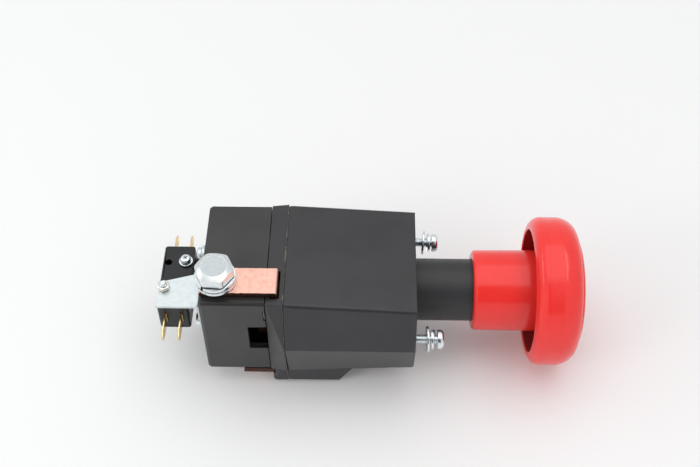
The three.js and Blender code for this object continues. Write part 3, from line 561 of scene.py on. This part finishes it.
def recess_cutters(size, depth, top):
    """The two crossed tapering slots of a cross recess, for a head whose top is at x = top."""
    half_slot, foot_length, foot_width = size * 0.24, 0.45, 0.5
    cutters = []
    for angle in (0, math.pi / 2):
        bm = block((-depth, -size, -half_slot), (1, size, half_slot))
        for vert in bm.verts:
            if vert.co.x < 0:
                vert.co.y *= foot_length
                vert.co.z *= foot_width
        bm.transform(Matrix.Translation((top, 0, 0)) @ Matrix.Rotation(angle + math.pi / 4, 4, "X"))
        cutters.append(bm)
    return cutters


def pan_head(radius, height, recess, sides=72):
    """A pan head from x = 0, with a cross recess of that share of its radius."""
    rim, flat = height * 0.42, radius * 0.58          # height of the upright side; radius of the flat top
    dome = [(0, 0), (0, radius - 0.2), (0.25, radius), (rim, radius)]
    dome += arc((rim, flat), (height * 0.58, radius * 0.42), 90, 0, 9)[1:]
    dome.append((height, 0))
    return carved(lathe(dome, sides), *recess_cutters(radius * recess, height * 0.7, height))


# ------------------------------------------------------------------ housings

INSIDE_Y, INSIDE_Z = 28, 23                       # edges nearer the axis than this are inside


def front_housing():
    """Its upper creases are rounded most, its outline less and its short edges least."""
    high = box("front_housing")[1]
    crease_z = centre("rear_housing").z

    def outer(middle, edge, turn):
        far_out = abs(middle.y) > INSIDE_Y or abs(middle.z) > INSIDE_Z
        lengthwise_on_top = middle.z > 20 and reach_along(edge, X) > 10
        clear_of_crease = abs(middle.z - crease_z) > 3
        return far_out and turn > math.radians(20) and clear_of_crease and not lengthwise_on_top

    def creases(middle, edge, turn):
        return abs(middle.y) > high.y - 1.5 or middle.x > high.x - 0.01

    def upper_crease(middle, edge, turn):
        lengthwise = reach_along(edge, X) > 60
        return lengthwise and turn > math.radians(60) and 28 < abs(middle.y) < 34 and middle.z > 20

    shell = rounded_edges("front_housing", (1.8, 40, upper_crease), (0.9, 12, outer), (0.3, 8, creases))
    build("front_shell", shell, ["front_housing"], smooth=40)


def middle_housing():
    def outer(middle, edge, turn):
        return (abs(middle.y) > INSIDE_Y or abs(middle.z) > INSIDE_Z) and turn > math.radians(20)

    build("middle_ring", rounded_edges("middle_housing", (0.35, 3.2, outer)), ["middle_housing"], smooth=40)


def rear_housing():
    """Its outline is rounded a little, and the upright edges of the vent window more."""
    low, high = box("rear_housing")
    near = 0.6                                        # this close to its box is on the outside

    def vent_mouth(middle, edge, turn):
        upright = reach_along(edge, Z) > 12
        return upright and abs(middle.y) > high.y - near and low.x + 12 < middle.x < high.x - 4

    def outer(middle, edge, turn):
        outside = middle.y < low.y + near or middle.y > high.y - near or middle.z < low.z + near
        outside = outside or middle.z > high.z - near or middle.x < low.x + 0.4
        return outside and not vent_mouth(middle, edge, turn)

    shell = rounded_edges("rear_housing", (0.35, 2.5, outer), (1.2, 12, vent_mouth))
    build("rear_shell", shell, ["rear_housing"], smooth=50)


def seam_fill():
    """The cement in the front seam: a thin ring round the section, a little below its surface."""
    outer, inner, play = 0.16, 1.6, 0.02              # depths below the surface; gap to each housing
    rear, front = box("middle_housing")[1].x, box("front_housing")[0].x
    section = [vert.co / MM for vert in frame["nodes"]["middle_housing"].data.vertices]
    flat = [Vector((p.y, p.z)) for p in section if abs(p.x - rear) < 0.05]
    outline = [flat[i] for i in convex_hull_2d(flat)]
    bm = bmesh.new()
    rings = [[bm.verts.new((x, *(point * (1 - inset / point.length)))) for point in outline]
             for x, inset in ((rear + play, outer), (front - play, outer), (front - play, inner),
                              (rear + play, inner))]
    return bridge(bm, rings + rings[:1], capped=False)


def bead(start, end, thick, sides=10, steps=24):
    """A squeezed-out bead of cement from start to end, uneven along its length and pinched at its ends."""
    flatness, end_share, lumps_per_mm = 0.6, 0.04, 0.9
    bm = bmesh.new()
    along = (end - start).normalized()
    rise = Vector((1, 0, 0)).cross(along)
    rings = []
    for i in range(steps + 1):
        share = i / steps
        middle = start.lerp(end, share)
        r = thick * math.sin(math.pi * min(1 - end_share, max(end_share, share))) ** 0.4
        r *= 0.5 + 0.7 * abs(noise.noise(Vector((middle.dot(along) * lumps_per_mm, thick * 9, 0))))
        section = [(r * math.cos(t), flatness * r * math.sin(t)) for t in full_turn(sides)]
        rings.append([bm.verts.new(middle + Vector((out, 0, 0)) + rise * up) for out, up in section])
    return bridge(bm, rings)


def seam_squeeze():
    """Cement that has squeezed out of the front seam, and a dab of it in the latch notch."""
    seam_x = (box("front_housing")[0].x + box("middle_housing")[1].x) / 2
    bead_z = box("middle_housing")[1].z - 0.1         # sunk a little into the top of the seam
    on_top = ((-6, 5, 0.75), (8, 17, 0.4), (-30, -25, 0.6), (25, 31, 0.45))     # from y, to y, thickness
    beads = [bead(Vector((seam_x, start, bead_z)), Vector((seam_x, end, bead_z)), thick)
             for start, end, thick in on_top]
    notch = Vector((box("rear_housing")[1].x - 0.5, box("rear_housing")[0].y + 0.35, 0))
    notch_foot, notch_top = Vector((0, 0, 15)), Vector((0, 0, 21.5))
    beads.append(bead(notch + notch_foot, notch + notch_top, 0.6))
    beads.append(seam_fill())
    cement = Surface("seam_cement", (0.16, 0.145, 0.11), 0.45)
    cement.colour(cement.mix(cement.ramp(cement.noise(1.2), 0.4, 0.7, 0, 1), (0.05, 0.048, 0.044),
                             (0.20, 0.19, 0.16)))
    build("seam_cement", merged(*beads), ["middle_housing"], cement.material, stands=False)


def neck_sleeve():
    """The neck in front of the panel face, x = 0, and its flange behind it."""
    low, high = box("neck_sleeve")
    flange = (high.y - low.y) / 2
    radius, wall, bore, flange_x = 15.8, 3.0, 5.3, low.x + 3.0
    edge_round = 0.7
    outline = filleted([(low.x, bore), (low.x, flange), (flange_x, flange), (flange_x, radius),
                        (high.x, radius), (high.x, radius - wall), (0, radius - wall), (0, bore),
                        (low.x, bore)], edge_round)
    outline = outline[:-1] + [outline[0]]
    build("neck", lathe(outline), ["neck_sleeve"])


# ------------------------------------------------------------------ button


def mushroom():
    low, high = box("mushroom_button")
    disc_low, disc_high = box("face_disc")
    radius, face_x, disc_radius = high.y, high.x, disc_high.y
    hub, bore, hub_round = 20.4, 16.1, 2.0            # the sleeve that slides over the neck
    floor_x, stem_hole = 60.3, 3.3                    # the end of its bore, with a hole for a screw
    recess_x, screw_recess = 65.3, 8.5                # where that screw's head lies, under the disc
    rim_start, rim_inner, rim_round = 57.8, 31.3, 5.8
    hollow_x = face_x - 6.5                           # where the hollow behind the face ends
    shoulder, face_radius = 70.4, disc_radius + 1.2
    parting = 0.07                                    # depth of the mould line round the rim
    outline = [(floor_x, stem_hole), (floor_x, bore), (low.x + 0.6, bore), (low.x, bore + 0.6)]
    outline += arc((low.x + hub_round, hub - hub_round), hub_round, 180, 90, 8)
    outline += arc((hollow_x - 2, hub + 2.4), 2, 270, 360, 6)
    outline += arc((hollow_x - 3, rim_inner - 3), 3, 0, 90, 6)
    outline += arc((rim_start + 0.6, rim_inner + 0.6), 0.6, 270, 180, 4)
    outline += arc((rim_start + rim_round, radius - rim_round), rim_round, 180, 90, 16)
    outline += [(rim_start + rim_round + 0.25, radius), (rim_start + rim_round + 0.32, radius - parting),
                (rim_start + rim_round + 0.5, radius - parting)]
    outline += arc((shoulder, face_radius), (face_x - shoulder, radius - parting - face_radius), 90, 0, 22)
    outline += [(face_x - 0.4, disc_radius + 0.45), (face_x - 1.0, disc_radius + 0.3),
                (disc_low.x - 0.3, disc_radius + 0.3), (disc_low.x - 0.3, screw_recess),
                (recess_x, screw_recess), (recess_x, stem_hole), (floor_x, stem_hole)]
    bm = lathe(outline, 192)
    for each in bm.faces:
        middle = each.calc_center_median()
        out = math.hypot(middle.y, middle.z)
        in_hollow = middle.x > rim_start + 0.8 and hub + 0.3 < out < rim_inner + 0.2
        # faces in the hollow take the darker red of painted shade
        each.material_index = 1 if in_hollow else 0
    build("mushroom", bm, ["mushroom_button"], [MATERIALS["red_plastic"], RED_INSIDE], smooth=38)
    disc_edge = disc_low.x + 2.2                      # the disc is upright up to here, then domed
    disc = [(disc_low.x, 0), (disc_low.x, disc_radius - 0.3), (disc_low.x + 0.3, disc_radius)]
    disc += arc((disc_edge, 0), (disc_high.x - disc_edge, disc_radius), 90, 0, 20)
    build("button_face", lathe(disc, 160), ["face_disc"], smooth=38)


# ------------------------------------------------------------------ terminals

STRIP_REAR, STRIP_FRONT = -87.3, -71.3            # the lower bar's branch to the near side, along X
BOLT_TURN = 25.5                                  # of the hexagon, in degrees
BOLT_HOLE = 5.4                                   # radius, in the bars and the washers


def strip_mesh(pairs, width, thickness, wander):
    """A sheared strip through pairs of (x, z) points, outside and inside. Its long edges wander."""
    bm = bmesh.new()
    rings = []
    corner, droop_width, droop_slope = 0.35, 0.7, 0.12
    for outside, inside in pairs:
        ring = []
        for across, up in rounded_section(width, thickness, corner, 4):
            side = 1 if across > 0 else -1
            long_wave = noise.noise(Vector((outside[0] * 0.55, outside[1] * 0.55, side * 7)))
            short_wave = noise.noise(Vector((outside[0] * 1.7, outside[1], side * 3 + up)))
            drift = wander * (long_wave + 0.5 * short_wave)
            droop = droop_slope * max(0, abs(across) - width / 2 + droop_width)
            place = Vector(inside).lerp(Vector(outside), (up - droop) / thickness + 0.5)
            ring.append(bm.verts.new((place.x, across + side * drift, place.y)))
        rings.append(ring)
    bridge(bm, rings)
    end_edges = [edge for each in bm.faces if len(each.verts) > 4 for edge in each.edges]
    bmesh.ops.bevel(bm, geom=end_edges, offset=0.25, segments=2, profile=0.5, affect="EDGES",
                    clamp_overlap=True)
    return bm


def stepped(start, end, step):
    """Evenly spaced numbers from start to end, about one step apart."""
    count = max(1, round(abs(end - start) / step))
    return [start + (end - start) * i / count for i in range(count + 1)]


def terminal_bar(word, turned):
    """A copper bar that bends down into the middle housing; the lower one has a branch to the near side."""
    low, high = box("upper_terminal_bar")
    gap, trim = 0.4, 0.5                              # under the bar; off its width, as its edges wander
    thickness = high.z - box("rear_housing")[1].z - gap
    middle_y = (low.y + high.y) / 2
    width = high.y - low.y - trim
    bend, crook, bend_steps = 1.0, 0.3, 8             # outer and inner radius of the bend
    wander, branch_wander, end_gap = 0.16, 0.1, 0.1
    under, inner = high.z - thickness, high.x - thickness
    pairs = [((x, high.z), (x, under)) for x in stepped(low.x + 0.05, inner - crook, 0.5)]
    pairs += zip(arc((high.x - bend, high.z - bend), bend, 90, 0, bend_steps),
                 arc((inner - crook, under - crook), crook, 90, 0, bend_steps))
    pairs += [((high.x, z), (inner, z)) for z in stepped(under - 2 * crook, low.z, 1.5)]
    bar = placed(strip_mesh(pairs, width, thickness, wander), (0, middle_y, 0))
    if word == "lower":
        cross_x = (STRIP_REAR + STRIP_FRONT) / 2
        reach = abs(box("lower_terminal_bar")[0].y)
        overlap_y = middle_y + 4                      # the branch starts inside the bar
        lie = [((y, high.z), (y, under)) for y in stepped(overlap_y, reach - end_gap, 0.5)]
        cross = strip_mesh(lie, STRIP_FRONT - STRIP_REAR - 0.4, thickness, branch_wander)
        cross.transform(Matrix.Translation((cross_x, 0, 0)) @ Matrix.Rotation(math.pi / 2, 4, "Z"))
        bar = carved(bar, cross, operation="UNION")
    bolt = centre("upper_flat_washer")
    through = 8                                       # half the drill's length
    drill = lathe([(-through, 0), (-through, BOLT_HOLE), (through, BOLT_HOLE), (through, 0)], 48)
    hole = placed(drill, (bolt.x, bolt.y, high.z), UP)
    bar = carved(bar, hole)
    bar.normal_update()
    sideways = 0.75                                   # a face that looks to the side is a sheared one, rougher, and coloured dark copper as painted shade
    for each in bar.faces:
        each.material_index = 1 if abs(each.normal.y) > sideways else 0
    build(f"{word}_bar", bar, [f"{word}_terminal_bar"], [MATERIALS["copper"], SHEARED_COPPER],
          smooth=40, turned=turned)


def terminal_stack(word, turned):
    """Flat washer, spring washer, hexagon bolt and threaded insert of one terminal."""
    axis = centre("upper_flat_washer")

    def at(z):
        return (axis.x, axis.y, z)

    low, high = box("upper_flat_washer")
    washer = flat_washer((high.x - low.x) / 2, BOLT_HOLE, high.z - low.z)
    build(f"{word}_washer", placed(washer, at(low.z), UP), [f"{word}_flat_washer"], turned=turned)
    spring_low, spring_high = box("upper_spring_washer")
    spring_radius, squashed = (spring_high.x - spring_low.x) / 2, 0.35
    split = split_washer(spring_radius, BOLT_HOLE, spring_high.z - spring_low.z, squashed, 7,
                         math.radians(150))
    build(f"{word}_lock_washer", placed(split, at(spring_low.z), UP), [f"{word}_spring_washer"],
          turned=turned, smooth=28)
    bolt_low, bolt_high = box("upper_terminal_bolt")
    flats, top_circle, over_washer, top_layer = 17.0, 6.7, 0.3, 0.3
    head = bolt_high.z - spring_high.z - over_washer
    cap = hexagon(flats, head, top_circle, dish=0.1)
    cap.transform(Matrix.Rotation(math.radians(BOLT_TURN), 4, "X"))
    length = bolt_high.z - head - bolt_low.z
    bolt = merged(cap, threaded(*M10, length + 0.4, sides=48))
    bolt = placed(bolt, at(bolt_high.z - head), UP)
    for each in bolt.faces:
        middle = each.calc_center_median()
        out = math.hypot(middle.x - axis.x, middle.y - axis.y)
        # the head's flat top gets the darker zinc of painted shade
        on_top = middle.z > bolt_high.z - top_layer and out < top_circle - 0.2
        each.material_index = 1 if on_top else 0
    build(f"{word}_bolt", bolt, [f"{word}_terminal_bolt"], [BOLT_ZINC, BOLT_TOP],
          turned=turned, smooth=30)
    insert_low, insert_high = box("upper_terminal_insert")
    insert_bore = 5.3
    tube = flat_washer((insert_high.x - insert_low.x) / 2, insert_bore, insert_high.z - insert_low.z, 0.4)
    build(f"{word}_insert", placed(tube, at(insert_low.z), UP), [f"{word}_terminal_insert"], turned=turned)


# ------------------------------------------------------------------ panel screws


def panel_fixing(word, washer_tilt, start):
    """A loose screw with its washer and open spring washer; the screw stands out of its insert. The washer
    hangs tilted by that many degrees, and start is where the spring washer's gap is."""
    bore = 2.8
    axis = centre(f"{word}_panel_screw")
    screw_low, screw_high = box(f"{word}_panel_screw")
    head_height, head_radius = 3.4, (screw_high.y - screw_low.y) / 2
    seat = screw_high.x - head_height
    shank = threaded(*M5, seat - screw_low.x + 0.2, depth=0.6)
    bm = merged(pan_head(head_radius, head_height, 0.52), shank)
    build(f"{word}_screw", placed(bm, (seat, axis.y, axis.z)), [f"{word}_panel_screw"], smooth=30)
    low, high = box(f"{word}_panel_spring_washer")
    sprung_open = 0.85
    split = split_washer((high.z - low.z) / 2, bore, high.x - low.x, sprung_open, 14, start)
    build(f"{word}_screw_lock_washer", placed(split, (low.x, axis.y, axis.z)),
          [f"{word}_panel_spring_washer"], smooth=28)
    washer_radius, washer_thickness, set_back = 6.4, 1.15, 0.6
    washer = flat_washer(washer_radius, bore, washer_thickness, 0.3)
    tilt = Matrix.Rotation(math.radians(washer_tilt), 4, "Z")
    washer.transform(tilt @ Matrix.Translation((-set_back, 0, 0)))
    build(f"{word}_screw_washer", placed(washer, centre(f"{word}_panel_washer")), [f"{word}_panel_washer"])
    low, high = box(f"{word}_panel_insert")
    tube = flat_washer((high.z - low.z) / 2, bore, high.x - low.x, 0.3)
    build(f"{word}_insert", placed(tube, (low.x, axis.y, axis.z)), [f"{word}_panel_insert"])


# ------------------------------------------------------------------ microswitch and its brackets

ON_FACE = 0.05                                    # an edge this close to a face of the box lies on it


def microswitch():
    """Its case and cover have their upper and lower rims rounded; the blades and the lever, every edge."""
    top = box("microswitch_case")[1].z

    def rims(middle, edge, turn):
        return abs(middle.z) > top - ON_FACE

    build("switch_case", rounded_edges("microswitch_case", (0.35, 0.5, rims)), ["microswitch_case"],
          smooth=40)
    build("switch_cover", rounded_edges("microswitch_cover", (0.25, 0.5, rims)), ["microswitch_cover"],
          smooth=40)
    for word in ("far", "near"):
        for number in (1, 2):
            node = f"{word}_switch_terminal_{number}"
            build(f"{word}_blade_{number}", rounded_edges(node, (0.16, 1.0, everywhere)), [node], smooth=40)
    build("switch_leaf", rounded_edges("switch_lever", (0.1, 2.5, everywhere)), ["switch_lever"], smooth=40)


def brackets():
    """Sheet brackets with a rounded fold, and all their other edges slightly rounded."""
    high = box("upper_switch_bracket")[1]

    def fold(middle, edge, turn):
        at_top = abs(middle.z) > high.z - ON_FACE
        return reach_along(edge, Y) > 5 and at_top and middle.x > high.x - ON_FACE

    for word in ("upper", "lower"):
        node = f"{word}_switch_bracket"
        bm = rounded_edges(node, (1.3, 5, fold), (0.14, 1.2, everywhere))
        build(f"{word}_bracket", bm, [node], SHEET_ZINC, smooth=40)


def bracket_fasteners(word, turned):
    """The screw that holds one bracket to the rear housing; its head faces the rear."""
    low, high = box("upper_bracket_screw")
    axis = centre("upper_bracket_screw")
    head_height, head_radius = 2.5, (high.z - low.z) / 2
    face_about = Matrix.Rotation(math.pi, 4, "Z")
    bm = merged(pan_head(head_radius, head_height, 0.55), threaded(*M4, high.x - low.x - head_height))
    seat = low.x + head_height
    build(f"{word}_bracket_fixing", placed(bm, (seat, axis.y, axis.z), face_about),
          [f"{word}_bracket_screw"], smooth=30, turned=turned)


def switch_fasteners():
    """The two screws through the switch, each with a nut at the other end from its head, and a washer."""
    for word, turned in (("upper", False), ("lower", True)):
        node = f"{word}_switch_screw"
        low, high = box(node)
        axis = centre(node)
        flip = Matrix.Identity(4) if turned else Matrix.Rotation(math.pi, 4, "Y")
        head_height, head_radius = 2.2, (high.x - low.x) / 2
        bm = merged(pan_head(head_radius, head_height, 0.55, 56),
                    threaded(*M3, high.z - low.z - head_height, sides=28))
        seat = high.z - head_height if turned else low.z + head_height
        build(f"{word}_through_screw", placed(bm, (axis.x, axis.y, seat), UP @ flip), [node], smooth=30)
        nut_low, nut_high = box(f"{word}_switch_nut")
        nut_axis = centre(f"{word}_switch_nut")
        flats, flat_circle = 5.6, 2.62
        nut = hexagon(flats, nut_high.z - nut_low.z, flat_circle, bore=1.6, both=True, sides=72)
        build(f"{word}_nut", placed(nut, (nut_axis.x, nut_axis.y, nut_low.z), UP), [f"{word}_switch_nut"],
              NUT_ZINC, smooth=30)
    low, high = box("switch_screw_washer")
    axis = centre("switch_screw_washer")
    washer_bore = 1.75
    washer = flat_washer((high.x - low.x) / 2, washer_bore, high.z - low.z, 0.15)
    build("switch_washer", placed(washer, (axis.x, axis.y, low.z), UP), ["switch_screw_washer"])


front_housing()
middle_housing()
rear_housing()
seam_squeeze()
neck_sleeve()
mushroom()
for side, half_turned in (("upper", False), ("lower", True)):
    terminal_bar(side, half_turned)
    terminal_stack(side, half_turned)
    bracket_fasteners(side, half_turned)
panel_fixing("near", 3, math.radians(60))
panel_fixing("far", -5, math.radians(200))
microswitch()
brackets()
switch_fasteners()

# ------------------------------------------------------------------ floor, light and camera

PAPER_GLOW = 0.04                                 # lifts the paper to near white for the camera alone
FLOOR_HEIGHT, FLOOR_TILT = -0.0425, 1.45          # under the lower bolt head, rising to the button's rim
FLOOR_SIZE = 2.5                                  # half its width

# The world's light: strengths of the tent, the dark slot in it and the bright ceiling
TENT, ROOM, OVERHEAD = 0.88, 0.05, 1.85
OVERHEAD_AXIS = (0.0, 0.14, 0.99)
OVERHEAD_EDGE = (36, 26)                          # degrees off that axis where it starts and is full
SLOT_FOOT, SLOT_TOP = (13, 20), (60, 70)          # degrees above the horizon where the slot fades
SLOT_SIDE = (10, 17)                              # degrees to each side where it fades out

CAMERA_PLACE = (-0.02437, -0.34642, 0.45868)
CAMERA_TURN = (39.876, 0.271, 1.069)
LENS = 57.53


def floor():
    bm = bmesh.new()
    bmesh.ops.create_grid(bm, x_segments=8, y_segments=8, size=FLOOR_SIZE)
    mesh = bpy.data.meshes.new("floor")
    bm.to_mesh(mesh)
    bm.free()
    ground = bpy.data.objects.new("floor", mesh)
    scene.collection.objects.link(ground)
    ground.matrix_world = (Matrix.Translation((box("upper_flat_washer")[0].x * MM, 0, FLOOR_HEIGHT)) @
                           Matrix.Rotation(math.radians(-FLOOR_TILT), 4, "Y"))
    surface = Surface("floor_paper", (0.86, 0.865, 0.87), 0.5, Specular_IOR_Level=0.3)
    surface.bump(surface.noise(3, 3), 0.01)
    seen = surface.tree.nodes.new("ShaderNodeLightPath").outputs["Is Camera Ray"]
    surface.shader.inputs["Emission Color"].default_value = (1, 1, 1, 1)
    surface.feed(surface.shader.inputs["Emission Strength"], surface.maths("MULTIPLY", seen, PAPER_GLOW))
    mesh.materials.append(surface.material)


def lamp(name, place, size, power, mirrored=True):
    """An area lamp in metres and watts, aimed at the origin; without mirrored, no reflection shows it."""
    data = bpy.data.lights.new(name, "AREA")
    data.shape = "RECTANGLE"
    data.size, data.size_y = size
    data.energy = power
    light = bpy.data.objects.new(name, data)
    light.location = place
    light.rotation_euler = (-Vector(place)).to_track_quat("-Z", "Y").to_euler()
    light.visible_glossy = mirrored
    scene.collection.objects.link(light)


def world_light():
    """A pale tent all round, brighter overhead, with a dark slot where the photographer stands."""
    world = bpy.data.worlds.new("studio")
    scene.world = world
    world.use_nodes = True
    tree = world.node_tree
    tree.nodes.clear()

    def node(kind, **values):
        made = tree.nodes.new(kind)
        for key, value in values.items():
            setattr(made, key, value)
        return made

    def joined(operation, first, second):
        made = node("ShaderNodeMath", operation=operation)
        for socket, value in zip(made.inputs, (first, second)):
            if isinstance(value, bpy.types.NodeSocket):
                tree.links.new(value, socket)
            else:
                socket.default_value = value
        return made.outputs[0]

    def smooth(value, low, high):
        """Rises softly from 0 at low to 1 at high."""
        made = node("ShaderNodeMapRange", interpolation_type="SMOOTHSTEP")
        tree.links.new(value, made.inputs["Value"])
        made.inputs["From Min"].default_value = low
        made.inputs["From Max"].default_value = high
        return made.outputs["Result"]

    def trig(function, degrees):
        return [function(math.radians(angle)) for angle in degrees]

    nearly_zero = 0.001                               # keeps a division finite behind the camera's side
    coordinates = node("ShaderNodeTexCoord").outputs["Generated"]
    direction = node("ShaderNodeSeparateXYZ")
    tree.links.new(coordinates, direction.inputs[0])
    height, towards = direction.outputs["Z"], joined("MULTIPLY", direction.outputs["Y"], -1)
    above = smooth(height, *trig(math.sin, SLOT_FOOT))
    below = joined("SUBTRACT", 1, smooth(height, *trig(math.sin, SLOT_TOP)))
    sideways = joined("ABSOLUTE", direction.outputs["X"], 0)
    aside = joined("DIVIDE", sideways, joined("MAXIMUM", towards, nearly_zero))
    ahead = joined("SUBTRACT", 1, smooth(aside, *trig(math.tan, SLOT_SIDE)))
    room = joined("MULTIPLY", joined("MULTIPLY", above, below), ahead)
    level = joined("SUBTRACT", TENT, joined("MULTIPLY", room, TENT - ROOM))
    towards_axis = node("ShaderNodeVectorMath", operation="DOT_PRODUCT")
    tree.links.new(coordinates, towards_axis.inputs[0])
    towards_axis.inputs[1].default_value = Vector(OVERHEAD_AXIS).normalized()
    overhead = smooth(towards_axis.outputs["Value"], *trig(math.cos, OVERHEAD_EDGE))
    level = joined("ADD", level, joined("MULTIPLY", overhead, OVERHEAD - TENT))
    seen = node("ShaderNodeLightPath").outputs["Is Camera Ray"]
    strength = joined("ADD", joined("MULTIPLY", level, joined("SUBTRACT", 1, seen)), seen)
    background = node("ShaderNodeBackground")
    tree.links.new(strength, background.inputs["Strength"])
    tree.links.new(background.outputs[0], node("ShaderNodeOutputWorld").inputs[0])


floor()
world_light()
lamp("softbox_left", (-0.95, 0.15, 0.70), (0.90, 0.15), 1.1)
lamp("strip_right", (0.42, 0.03, 0.90), (0.80, 0.07), 0.45)
lamp("front_left", (-1.00, -0.62, 0.62), (0.50, 0.50), 2.9, mirrored=False)
lamp("front_right", (0.70, -0.55, 1.00), (0.50, 0.50), 0.8, mirrored=False)

camera_data = bpy.data.cameras.new("camera")
camera_data.lens = LENS
camera_data.sensor_fit = "HORIZONTAL"
camera_data.sensor_width = 36
camera = bpy.data.objects.new("camera", camera_data)
camera.location = CAMERA_PLACE
camera.rotation_euler = Euler([math.radians(angle) for angle in CAMERA_TURN])
scene.collection.objects.link(camera)
scene.camera = camera
scene.view_settings.view_transform = "Standard"
